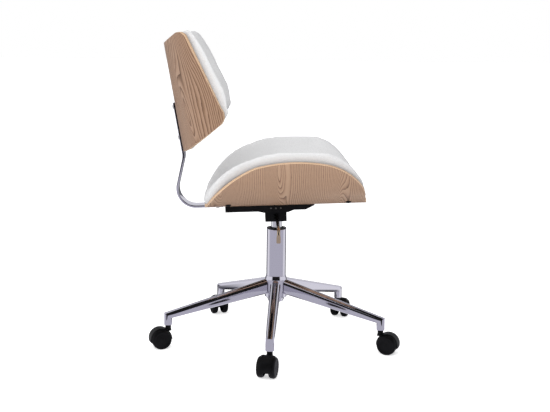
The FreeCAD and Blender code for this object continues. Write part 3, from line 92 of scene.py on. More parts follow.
@dataclass(frozen=True)
class Place:
    """A right-handed set of axes somewhere in the row frame."""

    origin: tuple[float, float, float]
    forward: tuple[float, float, float]
    left: tuple[float, float, float]
    up: tuple[float, float, float]

    def __call__(self, local: np.ndarray) -> np.ndarray:
        """Local points as row-frame points: origin + x forward + y left + z up."""
        return np.asarray(self.origin) + np.asarray(local) @ np.array([self.forward, self.left, self.up])

    @classmethod
    def turned(cls, origin: tuple[float, float, float], yaw: float = 0.0, rise: float = 0.0) -> "Place":
        """Axes turned about Z by yaw after their front is raised.

        Args:
            origin: where the local origin lies.
            yaw: turn about +Z, in degrees.
            rise: angle of the local front above the floor, in degrees.

        Returns:
            The turned axes.
        """
        turn = Matrix.Rotation(math.radians(yaw), 3, "Z") @ Matrix.Rotation(-math.radians(rise), 3, "Y")
        columns = [tuple(column) for column in turn.col]
        return cls(tuple(origin), *columns)

    def facing(self, spot: np.ndarray, out: tuple[float, float, float],
               forward: tuple[float, float, float]) -> "Place":
        """Axes at a local spot: up along the local direction out, forward as given in the row frame.

        Args:
            spot: where the new axes stand, in these axes.
            out: their up, in these axes.
            forward: their forward, in the row frame.

        Returns:
            The axes.
        """
        up = self(out) - np.asarray(self.origin)
        return Place(tuple(self(spot)), tuple(forward), tuple(np.cross(up, forward)), tuple(up))


@dataclass
class Skin:
    """Closed surfaces gathered into one mesh."""

    points: list[np.ndarray] = field(default_factory=list)
    faces: list[list[int]] = field(default_factory=list)

    def grid(self, rows: np.ndarray, ring: bool = False, centres: np.ndarray | None = None) -> "Skin":
        """Add a closed surface from loops of points.

        Row i and row i + 1 are joined by quads, and each row closes on itself. The surface is a ring that
        closes on its first row, or its first and last rows are closed by fans to their centres. The sign
        of its volume, a sixth of the summed triple products of its triangles, sets which way it faces.

        Args:
            rows: points shaped (rows, columns, 3).
            ring: whether the last row joins the first.
            centres: the fans' own centres, where the loops' means would not do.

        Returns:
            This skin.
        """
        count, width = rows.shape[:2]
        base = sum(len(block) for block in self.points)
        points = rows.reshape(-1, 3)
        below = np.arange(count if ring else count - 1)[:, None]
        across = np.arange(width)
        beside = (across + 1) % width
        low, high = below * width, (below + 1) % count * width
        quads = np.stack([low + across, low + beside, high + beside, high + across], axis=-1).reshape(-1, 4)
        fans = np.empty((0, 3), dtype=int)
        if not ring:
            if centres is None:
                centres = np.array([rows[0].mean(axis=0), rows[-1].mean(axis=0)])
            points = np.vstack([points, centres])
            last, middle = (count - 1) * width, count * width
            start = np.stack([beside, across, np.full(width, middle)], axis=-1)
            end = np.stack([last + across, last + beside, np.full(width, middle + 1)], axis=-1)
            fans = np.vstack([start, end])
        triangles = np.vstack([quads[:, [0, 1, 2]], quads[:, [0, 2, 3]], fans])
        a, b, c = (points[triangles[:, k]] for k in range(3))
        if np.einsum("ij,ij->i", a, np.cross(b, c)).sum() < 0:
            quads, fans = quads[:, ::-1], fans[:, ::-1]
        self.points.append(points)
        self.faces += (quads + base).tolist() + (fans + base).tolist()
        return self

    def lathe(self, profile: list[tuple[float, float]], place: Place, steps: int = 96,
              ring: bool = False) -> "Skin":
        """Add a turned surface: x = r cos a, y = r sin a, z = height, over whole turns of a.

        Args:
            profile: (radius, height) along the section.
            place: axes whose up is the axis of turning.
            steps: points round the axis.
            ring: whether the section closes on itself, clear of the axis.

        Returns:
            This skin.
        """
        radius, height = self.braced(np.array(profile)).T
        angle = np.linspace(0, 2 * np.pi, steps, endpoint=False)
        local = np.stack([np.outer(radius, np.cos(angle)), np.outer(radius, np.sin(angle)),
                          np.outer(height, np.ones(steps))], axis=-1)
        return self.grid(place(local), ring)

    @staticmethod
    def braced(profile: np.ndarray, margin: float = 0.3 * MM, long: float = 2.0 * MM) -> np.ndarray:
        """A profile with points close to both ends of its long straights, so that these shade straight.

        Args:
            profile: (radius, height) points.
            margin: how far the new points lie from the ends.
            long: length above which a straight gets them.

        Returns:
            The profile with the new points.
        """
        spots = [profile[0]]
        for first, second in zip(profile[:-1], profile[1:]):
            length = np.linalg.norm(second - first)
            if length > long:
                step = (second - first) * margin / length
                spots += [first + step, second - step]
            spots.append(second)
        return np.array(spots)

    def piece(self, name: str, finish: "Finish", body: str, slot: str, node: str) -> bpy.types.Object:
        """Make the mesh object and say what it rides on.

        Args:
            name: the piece's name.
            finish: its finish.
            body: the CAD body it moves with.
            slot: the record's material slot; not used.
            node: the CAD node that it stands for.

        Returns:
            The object.
        """
        mesh = bpy.data.meshes.new(name)
        mesh.from_pydata(np.vstack(self.points).tolist(), [], self.faces)
        mesh.update()
        mesh.shade_smooth()
        mesh.set_sharp_from_angle(angle=SHARP_ANGLE)
        mesh.materials.append(finish.material())
        made = stand(name, mesh)
        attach(made, body)
        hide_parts(node)
        log.info("%s rides on %s", name, body)
        return made


def stand(name: str, data: bpy.types.ID) -> bpy.types.Object:
    """A new object in the scene that shows the data.

    Args:
        name: the object's name.
        data: its mesh, lamp or camera.

    Returns:
        The object.
    """
    made = bpy.data.objects.new(name, data)
    bpy.context.scene.collection.objects.link(made)
    return made


def soft_corners(corners: list[tuple[float, float]], size: float, closed: bool = False,
                 steps: int = 4) -> list[tuple[float, float]]:
    """Round the corners of an outline.

    Each corner C becomes the curve (1-t)^2 A + 2t(1-t) C + t^2 B, where A and B lie on its two edges at
    the given size from C, or at 0.45 of the edge where that is less.

    Args:
        corners: the outline's corners.
        size: how far from each corner the curve starts.
        closed: whether the outline closes on itself.
        steps: points on each curve, less one.

    Returns:
        The rounded outline.
    """
    spots = np.array(corners, dtype=float)
    rounded = []
    for index, corner in enumerate(spots):
        if not closed and index in (0, len(spots) - 1):
            rounded.append(tuple(corner))
            continue
        before, after = spots[index - 1] - corner, spots[(index + 1) % len(spots)] - corner
        reach = [min(size, 0.45 * np.linalg.norm(edge)) / np.linalg.norm(edge) for edge in (before, after)]
        a, b = corner + before * reach[0], corner + after * reach[1]
        share = np.linspace(0, 1, steps + 1)[:, None]
        curve = (1 - share) ** 2 * a + 2 * share * (1 - share) * corner + share**2 * b
        rounded += [tuple(spot) for spot in curve]
    return rounded


def in_mm(pairs: list[tuple[float, float]]) -> list[tuple[float, float]]:
    """Pairs of millimetres in metres."""
    return [(first * MM, second * MM) for first, second in pairs]


def compass(angle: np.ndarray) -> np.ndarray:
    """Unit pairs (cos a, sin a)."""
    return np.stack([np.cos(angle), np.sin(angle)], axis=-1)


def in_xz(pairs: np.ndarray) -> np.ndarray:
    """Pairs (x, z) as points (x, 0, z)."""
    return np.stack([pairs[:, 0], np.zeros(len(pairs)), pairs[:, 1]], axis=-1)


def sweep(path: np.ndarray, normals: np.ndarray, section: np.ndarray, sideways: np.ndarray) -> np.ndarray:
    """Carry a section along a path.

    Row i is path[i] + across * sideways + out * normals[i] for the section's (across, out) points.

    Args:
        path: points shaped (rows, 3).
        normals: unit directions shaped (rows, 3).
        section: (across, out) points, one set for all rows or one for each.
        sideways: the unit direction of across.

    Returns:
        Points shaped (rows, columns, 3).
    """
    section = np.broadcast_to(section, (len(path), *section.shape[-2:]))
    across = section[..., :1] * sideways
    out = section[..., 1:] * normals[:, None, :]
    return path[:, None, :] + across + out


# Finishes


def linear(colour: str) -> tuple[float, float, float, float]:
    """An sRGB hex colour as linear red, green, blue and alpha.

    Args:
        colour: six hex digits.

    Returns:
        The four values.
    """
    parts = [int(colour[k:k + 2], 16) / 255 for k in (0, 2, 4)]
    values = [part / 12.92 if part <= 0.04045 else ((part + 0.055) / 1.055) ** 2.4 for part in parts]
    return (*values, 1.0)

@dataclass
class Graph:
    """The node tree of a material or a world."""

    tree: bpy.types.NodeTree

    @classmethod
    def of(cls, owner: bpy.types.ID) -> "Graph":
        """The emptied tree of a material or a world.

        Args:
            owner: the material or world.

        Returns:
            The tree.
        """
        owner.use_nodes = True
        owner.node_tree.nodes.clear()
        return cls(owner.node_tree)

    def add(self, kind: str, sockets: dict | tuple = (), **settings: object) -> bpy.types.Node:
        """Add a node with its settings, values and links.

        Args:
            kind: the node's type, after the word ShaderNode.
            sockets: input name to value, or the values of the first inputs in their order. An output socket
                is linked, and so is the first output of a node.
            settings: the node's own properties.

        Returns:
            The node.
        """
        made = self.tree.nodes.new(f"ShaderNode{kind}")
        for key, value in settings.items():
            setattr(made, key, value)
        for key, value in sockets.items() if isinstance(sockets, dict) else enumerate(sockets):
            if isinstance(value, bpy.types.Node):
                value = value.outputs[0]
            if isinstance(value, bpy.types.NodeSocket):
                self.tree.links.new(value, made.inputs[key])
            else:
                made.inputs[key].default_value = value
        return made


def ramp(node: bpy.types.Node, stops: list[tuple[float, str]]) -> bpy.types.Node:
    """Set a colour ramp's stops from (position, hex colour).

    Args:
        node: the colour ramp.
        stops: each stop's position and colour.

    Returns:
        The node.
    """
    elements = node.color_ramp.elements
    while len(elements) < len(stops):
        elements.new(0.5)
    for element, (position, colour) in zip(elements, stops):
        element.position = position
        element.color = linear(colour)
    return node


@dataclass(frozen=True)
class Finish:
    """A surface finish, made into a material once."""

    name: str

    @functools.cache
    def material(self) -> bpy.types.Material:
        """The material: a Principled shader with the sockets of paint().

        Returns:
            The material.
        """
        material = bpy.data.materials.new(self.name)
        graph = Graph.of(material)
        shader = graph.add("BsdfPrincipled", self.paint(graph))
        graph.add("OutputMaterial", {"Surface": shader})
        return material

    def paint(self, graph: Graph) -> dict[str, object]:
        """The shader's sockets."""
        raise NotImplementedError


@dataclass(frozen=True)
class ChromePlate(Finish):
    """Decorative chrome over polished steel: a mirror with faint buffing haze and orange peel."""

    tint: str = "D5D3DC"
    roughness: float = 0.07
    haze: float = 0.05
    haze_grain_mm: float = 22.0
    peel_grain_mm: float = 9.0
    peel: float = 0.012

    def paint(self, graph: Graph) -> dict[str, object]:
        """A mirror whose roughness drifts, over a very slight unevenness.

        Args:
            graph: the material's tree.

        Returns:
            The shader's sockets.
        """
        spot = graph.add("TexCoord").outputs["Object"]
        haze = graph.add("TexNoise", {"Vector": spot, "Scale": 1 / (self.haze_grain_mm * MM), "Detail": 3.0})
        peel = graph.add("TexNoise", {"Vector": spot, "Scale": 1 / (self.peel_grain_mm * MM)})
        return {"Base Color": linear(self.tint), "Metallic": 1.0,
                "Roughness": graph.add("MapRange", {"Value": haze, "To Min": self.roughness,
                                                    "To Max": self.roughness + self.haze}),
                "Normal": graph.add("Bump", {"Height": peel, "Strength": self.peel, "Distance": MM})}


@dataclass(frozen=True)
class TurnedSteel(Finish):
    """Bright zinc or turned steel: a soft metal with fine rings and duller patches."""

    tint: str = "B9B8B4"
    roughness: float = 0.3
    dulling: float = 0.2
    patches_per_m: float = 120.0
    ring_mm: float = 0.8
    mark: float = 0.08
    mark_mm: float = 0.2

    def paint(self, graph: Graph) -> dict[str, object]:
        """Patches of dullness over rings of tool marks.

        Args:
            graph: the material's tree.

        Returns:
            The shader's sockets.
        """
        spot = graph.add("TexCoord").outputs["Object"]
        patch = graph.add("TexNoise", {"Vector": spot, "Scale": self.patches_per_m, "Detail": 4.0})
        rings = graph.add("TexWave", {"Vector": spot, "Scale": 1 / (self.ring_mm * MM) / 20.0,
                                      "Distortion": 1.0}, bands_direction="Z")
        return {"Base Color": linear(self.tint), "Metallic": 1.0,
                "Roughness": graph.add("MapRange", {"Value": patch, "To Min": self.roughness,
                                                    "To Max": self.roughness + self.dulling}),
                "Normal": graph.add("Bump", {"Height": rings.outputs["Fac"], "Strength": self.mark,
                                             "Distance": self.mark_mm * MM})}


@dataclass(frozen=True)
class MouldedNylon(Finish):
    """Black injection-moulded plastic or powder coat: spark-eroded grain with scuffed high spots."""

    deep: str = "070708"
    worn: str = "0E0E10"
    roughness: float = 0.42
    spread: float = 0.14
    grain_mm: float = 0.9
    depth_mm: float = 0.06
    relief: float = 0.5
    shine: float = 0.15
    scuffs_per_m: float = 45.0

    def paint(self, graph: Graph) -> dict[str, object]:
        """Near black with slightly greyer scuffs, over a fine pitted grain, drawn coarse enough to show.

        Args:
            graph: the material's tree.

        Returns:
            The shader's sockets.
        """
        spot = graph.add("TexCoord").outputs["Object"]
        scuff = graph.add("TexNoise", {"Vector": spot, "Scale": self.scuffs_per_m, "Detail": 5.0})
        grain = graph.add("TexVoronoi", {"Vector": spot, "Scale": 1 / (self.grain_mm * MM)})
        colour = ramp(graph.add("ValToRGB", {"Fac": scuff}), [(0.4, self.deep), (0.72, self.worn)])
        return {"Base Color": colour,
                "Roughness": graph.add("MapRange", {"Value": scuff, "To Min": self.roughness,
                                                    "To Max": self.roughness + self.spread}),
                "Normal": graph.add("Bump", {"Height": grain.outputs["Distance"], "Strength": self.relief,
                                             "Distance": self.depth_mm * MM}),
                "IOR": 1.53, "Specular IOR Level": self.shine}


@dataclass(frozen=True)
class FacedLeather(Finish):
    """White coated leather: fine pebbled grain, soft gloss on the pebbles, and painted shade that greys the
    creases.
    """

    face: str = "DBDBDB"
    # Painted shade: the grey of the creases between the pebbles.
    crease_shade: str = "CACACA"
    pebble_mm: float = 2.2
    warp_mm: float = 1.4
    depth_mm: float = 0.12
    relief: float = 0.35
    plateau: float = 0.22
    roughness: float = 0.44
    crease_roughness: float = 0.14
    warps_per_m: float = 260.0
    tones_per_m: float = 9.0

    def paint(self, graph: Graph) -> dict[str, object]:
        """Pebbles from Voronoi cells, broken up by noise, that grey the creases with painted shade and
        roughen them.

        Args:
            graph: the material's tree.

        Returns:
            The shader's sockets.
        """
        spot = graph.add("TexCoord").outputs["Object"]
        warp = graph.add("TexNoise", {"Vector": spot, "Scale": self.warps_per_m, "Detail": 3.0})
        shift = graph.add("VectorMath", {0: warp.outputs["Color"], "Scale": self.warp_mm * MM},
                          operation="SCALE")
        moved = graph.add("VectorMath", (spot, shift))
        cells = graph.add("TexVoronoi", {"Vector": moved, "Scale": 1 / (self.pebble_mm * MM)},
                          feature="DISTANCE_TO_EDGE")
        pebble = graph.add("MapRange", {"Value": cells.outputs["Distance"], "From Max": self.plateau})
        tone = graph.add("TexNoise", {"Vector": spot, "Scale": self.tones_per_m, "Detail": 2.0})
        blend = graph.add("Math", (pebble, tone, 0.25), operation="MULTIPLY_ADD")
        # Painted shade: the creases take the darker colour, mixed with a random tone.
        colour = ramp(graph.add("ValToRGB", {"Fac": blend}), [(0.2, self.crease_shade), (0.7, self.face)])
        return {"Base Color": colour,
                "Roughness": graph.add("MapRange", {"Value": pebble, "To Max": self.roughness,
                                                    "To Min": self.roughness + self.crease_roughness}),
                "Normal": graph.add("Bump", {"Height": pebble, "Strength": self.relief,
                                             "Distance": self.depth_mm * MM}),
                "IOR": 1.47, "Specular IOR Level": 0.3}


@dataclass(frozen=True)
class AshVeneer(Finish):
    """Flat-cut ash on bent plywood: cathedral figure round the bend, short pores, pale plies at the edges.

    With u = max(|y| - flat, 0) and w = bend - z in the panel's own axes, the distance round the bend is
    min(|y|, flat) + bend * atan2(u, w), and the depth in the sheet is bend - hypot(u, w). Each arch (cross,
    along, width, length, rings), its lengths in mm, adds
    rings * exp(-((c - cross) / width)^2 - ((g - along) / length)^2).
    """

    origin: tuple[float, float, float] = (0.0, 0.0, 0.0)
    turn: float = 0.0
    flat: float = 0.04
    bend: float = 0.175
    thickness: float = 0.009
    upright: bool = False
    grain_around: bool = True
    pale: str = "AF9076"
    middle: str = "9F7D64"
    dark: str = "4A2D1B"
    ply_pale: str = "EACBA8"
    ply_dark: str = "A67C58"
    ring_mm: float = 5.0
    figure_mm: float = 78.0
    figure_length_mm: float = 150.0
    figure: float = 12.0
    seed: float = 0.0
    arches: tuple[tuple[float, float, float, float, float], ...] = ()
    skew: float = 0.0
    # Painted light and reflection round the bend: tone and warmth go from 2 - value in the middle to value on
    # the wings, in place of light and a reflection on the lacquer.
    painted_light_round_bend: float = 1.0
    painted_reflection_warmth: float = 1.0
    painted_light_span: tuple[float, float] = (45 * MM, 135 * MM)
    ripple: float = 0.75
    ripples_per_m: tuple[float, float] = (90.0, 14.0)
    pores_per_m: tuple[float, float] = (1500.0, 60.0)
    late_power: float = 2.6
    plies: float = 3.5
    skin: float = 0.35 * MM

    def unroll(self, graph: Graph) -> tuple[bpy.types.Node, ...]:
        """A point's distance round the bend, its places across and along the grain, and its depth.

        Args:
            graph: the material's tree.

        Returns:
            The four values' nodes or sockets.
        """
        add = graph.add
        local = add("Mapping", {"Vector": add("TexCoord").outputs["Object"], "Location": self.origin,
                                "Rotation": (0.0, self.turn, 0.0)}, vector_type="TEXTURE")
        x, y, z = add("SeparateXYZ", (local,)).outputs
        out, along = (x, z) if self.upright else (z, x)
        across = add("Math", (y,), operation="ABSOLUTE")
        rolled = add("Math", (across, self.flat), operation="SUBTRACT")
        beyond = add("Math", (rolled, 0.0), operation="MAXIMUM")
        inward = add("Math", (self.bend, out), operation="SUBTRACT")
        turn = add("Math", (beyond, inward), operation="ARCTAN2")
        level = add("Math", (across, self.flat), operation="MINIMUM")
        around = add("Math", (turn, self.bend, level), operation="MULTIPLY_ADD")
        side = add("Math", (y,), operation="SIGN")
        signed = add("Math", (around, side), operation="MULTIPLY")
        square = add("Math", (inward, 2.0), operation="POWER")
        squares = add("Math", (beyond, beyond, square), operation="MULTIPLY_ADD")
        radius = add("Math", (squares,), operation="SQRT")
        depth = add("Math", (self.bend, radius), operation="SUBTRACT")
        grain, cross = (signed, along) if self.grain_around else (along, signed)
        skewed = add("Math", (grain, self.skew, cross), operation="MULTIPLY_ADD")
        return around, skewed, grain, depth

    def rings(self, graph: Graph, cross: object, grain: object) -> tuple[bpy.types.Node, ...]:
        """Ring lines: contours of distance across the grain plus a long soft noise, a ripple and the arches.

        Args:
            graph: the material's tree.
            cross: distance across the grain.
            grain: distance along the grain.

        Returns:
            The rings, the pores' noise and the drift of the tone.
        """
        add = graph.add
        figure = (1 / (self.figure_mm * MM), 1 / (self.figure_length_mm * MM))
        noises = []
        for per_metre, scale, detail, rough in ((figure, 1.0, 1.0, 0.35), (self.ripples_per_m, 1.0, 2.0, 0.5),
                                                (self.pores_per_m, 1.0, 2.0, 0.5), (figure, 0.8, 1.0, 0.5)):
            scaled = [add("Math", pair, operation="MULTIPLY") for pair in zip((cross, grain), per_metre)]
            sheet = add("CombineXYZ", (*scaled, self.seed))
            noises.append(add("TexNoise", {"Vector": sheet, "Scale": scale, "Detail": detail,
                                           "Roughness": rough}))
        swirl, ripple, pores, drift = noises
        rings = add("Math", (cross, 1 / (self.ring_mm * MM)), operation="MULTIPLY")
        for noise, strength in ((swirl, self.figure), (ripple, self.ripple)):
            rings = add("Math", (noise, strength, rings), operation="MULTIPLY_ADD")
        for arch_cross, arch_along, width, length, lift in self.arches:
            shares = []
            for place, middle, reach in ((cross, arch_cross, width), (grain, arch_along, length)):
                away = add("Math", (place, middle * MM), operation="SUBTRACT")
                shares.append(add("Math", (away, 1 / (reach * MM)), operation="MULTIPLY"))
            aside, ahead = shares
            square = add("Math", (ahead, ahead), operation="MULTIPLY")
            spread = add("Math", (aside, aside, square), operation="MULTIPLY_ADD")
            fall = add("Math", (spread, -1.0), operation="MULTIPLY")
            hill = add("Math", (math.e, fall), operation="POWER")
            rings = add("Math", (hill, lift, rings), operation="MULTIPLY_ADD")
        return rings, pores, drift

    def paint(self, graph: Graph) -> dict[str, object]:
        """Dark late wood at the end of each ring, pores in it, a drifting tone, painted light and reflection
        round the bend, and plies below the skin.

        Args:
            graph: the material's tree.

        Returns:
            The shader's sockets.
        """
        add = graph.add
        around, cross, grain, depth = self.unroll(graph)
        rings, pores, drift = self.rings(graph, cross, grain)
        phase = add("Math", (rings,), operation="FRACT")
        late = add("Math", (phase, self.late_power), operation="POWER")
        pore = add("MapRange", {"Value": pores, "From Min": 0.52, "From Max": 0.72})
        pored = add("Math", (late, 0.7, 0.25), operation="MULTIPLY_ADD")
        pored = add("Math", (pore, pored), operation="MULTIPLY")
        darker = add("Math", (late, 0.85), operation="MULTIPLY")
        marks = add("Math", (pored, 0.5, darker), operation="MULTIPLY_ADD")
        mark = add("Math", (marks, 1.0), operation="MINIMUM")
        face = ramp(add("ValToRGB", {"Fac": mark}), [(0.0, self.pale), (0.35, self.middle), (1.0, self.dark)])
        tone = add("MapRange", {"Value": drift, "To Min": 0.93, "To Max": 1.07})
        # Painted light and reflection: lightness and warmth set by the distance round the bend, that is by
        # the way the sheet faces.
        near, far = self.painted_light_span
        painted_lightness, painted_warmth = (add("MapRange", {"Value": around, "From Min": near, "From Max": far,
                                            "To Min": 2 - edge, "To Max": edge})
                           for edge in (self.painted_light_round_bend, self.painted_reflection_warmth))
        value = add("Math", (tone, painted_lightness), operation="MULTIPLY")
        face_with_painted_light = add("HueSaturation", {"Color": face, "Value": value, "Saturation": painted_warmth})
        plies = add("Math", (depth, self.plies / self.thickness), operation="MULTIPLY")
        ply = add("Math", (plies,), operation="FRACT")
        layer = ramp(add("ValToRGB", {"Fac": ply}), [(0.0, self.ply_dark), (0.1, self.ply_pale),
                                                     (0.5, self.ply_pale), (0.62, self.ply_dark)])
        below = add("Math", (depth, self.skin), operation="GREATER_THAN")
        above = add("Math", (depth, self.thickness - self.skin), operation="LESS_THAN")
        inside = add("Math", (below, above), operation="MULTIPLY")
        colour = add("Mix", {"Factor": inside, "A": face_with_painted_light, "B": layer}, data_type="RGBA")
        relief = add("Math", (1.0, mark), operation="SUBTRACT")
        return {"Base Color": colour.outputs["Result"],
                "Roughness": add("MapRange", {"Value": mark, "To Min": 0.38, "To Max": 0.56}),
                "Normal": add("Bump", {"Height": relief, "Strength": 0.25, "Distance": 0.1 * MM}),
                "IOR": 1.5, "Coat Weight": 0.12, "Coat Roughness": 0.3}


CHROME = ChromePlate("polished_chrome_plate")
LEVER_NICKEL = ChromePlate("warm_nickel_plate", tint="C0AC92", roughness=0.1)
CYLINDER = ChromePlate("hard_chrome_cylinder", tint="E4E4E6", roughness=0.16, haze=0.05)
NYLON = MouldedNylon("moulded_black_nylon")
TREAD = MouldedNylon("nylon_wheel", deep="080809", worn="101012", roughness=0.36)
COATED_STEEL = MouldedNylon("powder_coated_steel", deep="0A0A0B", worn="121214", roughness=0.34, grain_mm=1.6)
RUBBER = MouldedNylon("buffer_rubber", deep="141414", worn="202020", roughness=0.7)
ZINC = TurnedSteel("bright_zinc", tint="D2D0C8", roughness=0.26)
RIVET = TurnedSteel("dull_rivet", tint="7E7C78", roughness=0.5)
STEEL = TurnedSteel("turned_steel", tint="A8A8AA", roughness=0.34)
LEATHER = FacedLeather("white_coated_leather")


# Sub-assemblies


@dataclass
class StarBase:
    """Hub, five tube legs with mitred elbows, and the column they carry."""

    count: int = 5
    first_angle: float = -94.1
    radius: float = 280.0 * MM
    root_radius: float = 26.5 * MM
    root_top: float = 163.7 * MM
    root_height: float = 39.5 * MM
    root_width: float = 27.0 * MM
    elbow_outer: float = 89.3 * MM
    elbow_inner: float = 75.0 * MM
    socket_radius: float = 10.5 * MM
    socket_bottom: float = 58.5 * MM
    loop: int = 72

    def bearing(self, number: int) -> float:
        """The angle of a leg from the front, in degrees."""
        return self.first_angle + (number - 1) * 360 / self.count

    def leg(self, number: int) -> None:
        """One leg: loops from the hub to the mitre plane of the elbow, then straight down the socket.

        A loop has the points (c, s) = (cos a, sin a). At the hub it is a slot: across = w s,
        height = middle + sign(c) (h - 2w) / 2 + w c. At the mitre and in the socket it is the circle
        radius + R c, R s, tilted at the mitre by height = middle + slant c.

        Args:
            number: the leg's number.
        """
        angle = np.linspace(0, 2 * np.pi, self.loop, endpoint=False) + np.pi / self.loop
        c, s = np.cos(angle), np.sin(angle)
        half = self.root_width / 2
        straight = self.root_height / 2 - half
        root = np.stack([np.full_like(c, self.root_radius), half * s,
                         self.root_top - self.root_height / 2 + np.sign(c) * straight + half * c], axis=-1)
        middle = (self.elbow_outer + self.elbow_inner) / 2
        slant = (self.elbow_outer - self.elbow_inner) / 2
        elbow = np.stack([self.radius + self.socket_radius * c, self.socket_radius * s, middle + slant * c],
                         axis=-1)
        share = np.linspace(0, 1, 14)[:, None, None]
        rows = [*(root * (1 - share) + elbow * share)]
        lip = 0.6 * MM
        for raised, narrowed in ((lip, 0.0), (0.0, lip)):
            radius = self.socket_radius - narrowed
            level = np.full_like(c, self.socket_bottom + raised)
            rows.append(np.stack([self.radius + radius * c, radius * s, level], axis=-1))
        place = Place.turned((0, 0, 0), yaw=self.bearing(number))
        skin = Skin().grid(place(np.array(rows)))
        skin.piece(f"leg_{number}", CHROME, "base", "chrome", f"base_leg_{number}")

    def column(self) -> None:
        """Hub, column tube, its guide and the gas cylinder, all turned about the column axis."""
        hub = [(25.03, 117), (27.4, 117), (28, 117.6), (28, 163.6), (27.7, 164.4), (25.9, 172.7), (25.5, 173),
               (25.03, 173)]
        tube = [(5.1, 105), (17.6, 105), (19.4, 106), (23.2, 115.6), (23.7, 118.6), (25, 173), (25, 293.4),
                (24.6, 294), (23.3, 294), (23, 293.6), (23, 173), (21.6, 118), (18.6, 108), (5.1, 108)]
        guide = [(14.06, 232), (22.97, 232), (22.97, 294), (24.6, 294), (25, 294.4), (25, 296.4), (24.4, 297),
                 (19.5, 297), (18.6, 296.6), (16.2, 293.4), (14.06, 292.6)]
        cylinder = [(0, 317.9), (4.06, 317.9), (4.06, 345.4), (4.6, 346), (12.7, 346), (13.2, 345.5),
                    (14, 317), (14, 121), (13.4, 120.1), (5.06, 120.1), (5.06, 130.1), (11.8, 130.1),
                    (11.8, 302.4), (0, 302.4)]
        for profile, steps, ring, said in (
                (hub, 96, True, ("hub", CHROME, "base", "chrome", "base_hub")),
                (tube, 128, True, ("column_outer", CHROME, "base", "chrome", "column_tube")),
                (guide, 96, True, ("guide_bush", NYLON, "base", "black_plastic", "column_guide")),
                (cylinder, 96, False, ("cylinder", CYLINDER, "seat", "light_chrome", "gas_cylinder"))):
            Skin().lathe(in_mm(profile), Place.turned((0, 0, 0)), steps, ring).piece(*said)

    def build(self) -> None:
        """All of the base."""
        for number in range(1, self.count + 1):
            self.leg(number)
        self.column()


@dataclass
class TwinCastor:
    """Twin-wheel castor: two dished wheels with rounded treads, and the hood, web and neck between them."""

    number: int
    stem: tuple[float, float]
    heading: float
    trail: float = 20.0 * MM
    axle_height: float = 25.0 * MM
    hood_radius: float = 28.0 * MM
    hood_wall: float = 2.0 * MM
    hood_width: float = 31.0 * MM
    hood_back: float = -14.5
    hood_front: float = 183.0
    web_width: float = 12.3 * MM
    boss_radius: float = 9.0 * MM
    dome: tuple[float, float] = (0.72, 0.92)
    rounding: float = 0.8 * MM
    band_steps: int = 44
    web_steps: tuple[int, int] = (40, 24)

    @property
    def place(self) -> Place:
        """Axes at the stem: forward is the trail, left the axle."""
        return Place.turned((*self.stem, 0.0), yaw=self.heading)

    @property
    def name(self) -> str:
        """The castor's name, which is also its body's."""
        return f"castor_{self.number}"

    def wheel(self, side: Side) -> None:
        """One wheel, turned about the axle, with a rounded tread, a grooved face and a shallow dish.

        Args:
            side: the wheel's side of the castor.
        """
        profile = in_mm([(0, 21.9), (4.6, 21.9), (5.4, 21.5), (6.0, 21.3), (16.2, 21.3), (17.4, 21.6),
                         (18.2, 22.1), (19.4, 22.25), (20.8, 22.1), (22.2, 21.6), (23.4, 20.6), (24.3, 19.3),
                         (24.8, 17.8), (25.0, 16.2), (25.0, 12.4), (24.8, 11.0), (24.3, 9.6), (23.5, 8.4),
                         (22.4, 7.4), (21.2, 6.85), (20.5, 6.75), (20.5, 12.7), (8.0, 12.7), (8.0, 6.75),
                         (4.06, 6.75), (4.06, 19.0), (0, 19.0)])
        axes, name = self.place, side.name.lower()
        centre = axes(np.array([self.trail, 0.0, self.axle_height]))
        axle = tuple(side.value * part for part in axes.left)
        hub = Place(tuple(centre), axes.forward, tuple(np.cross(axle, axes.forward)), axle)
        Skin().lathe(profile, hub, 80).piece(f"{self.name}_tyre_{name}", TREAD, f"{self.name}_{name}",
                                             "wheel_plastic", f"{self.name}_wheel_{name}")

    def hood(self) -> None:
        """Band over the wheels, the web that holds the axle, and the flared neck.

        The band carries a rounded oblong round the axle: x = trail + r cos a, z = axle + r sin a. The web's
        edge stands at the band's inner radius over the same angles and at the boss's radius elsewhere.
        """
        half, wall = self.hood_width / 2, self.hood_wall
        out, high = self.dome[0] * half, self.dome[1] * wall
        domed = [(-half, 0), (half, 0), (half, wall / 2), (out, high), (0, wall), (-out, high),
                 (-half, wall / 2)]
        section = np.array(soft_corners(domed, self.rounding, closed=True))
        start, end = math.radians(self.hood_back), math.radians(self.hood_front)
        outward = in_xz(compass(np.linspace(start, end, self.band_steps)))
        centre = np.array([self.trail, 0.0, self.axle_height])
        band = sweep(centre + outward * (self.hood_radius - wall), outward, section, Y_AXIS)
        skin = Skin().grid(self.place(band))
        over, under = self.web_steps
        turn = np.concatenate([np.linspace(start, end, over), np.linspace(end, start + 2 * np.pi, under)])
        radius = np.repeat([self.hood_radius - wall / 2, self.boss_radius], self.web_steps)
        edge = centre + in_xz(radius[:, None] * compass(turn))
        step = Y_AXIS * self.web_width / 2
        skin.grid(self.place(np.array([edge - step, edge + step])))
        neck = [(0, 44), (8.6, 44), (8.1, 46.5), (7.5, 49.0), (7.2, 51.0), (7.2, 57.4), (6.7, 58.0),
                (0, 58.0)]
        skin.lathe(in_mm(neck), self.place, 48)
        skin.piece(f"{self.name}_fork", NYLON, self.name, "black_plastic", f"{self.name}_hood")

    def build(self) -> None:
        """The whole castor."""
        for side in Side:
            self.wheel(side)
        self.hood()


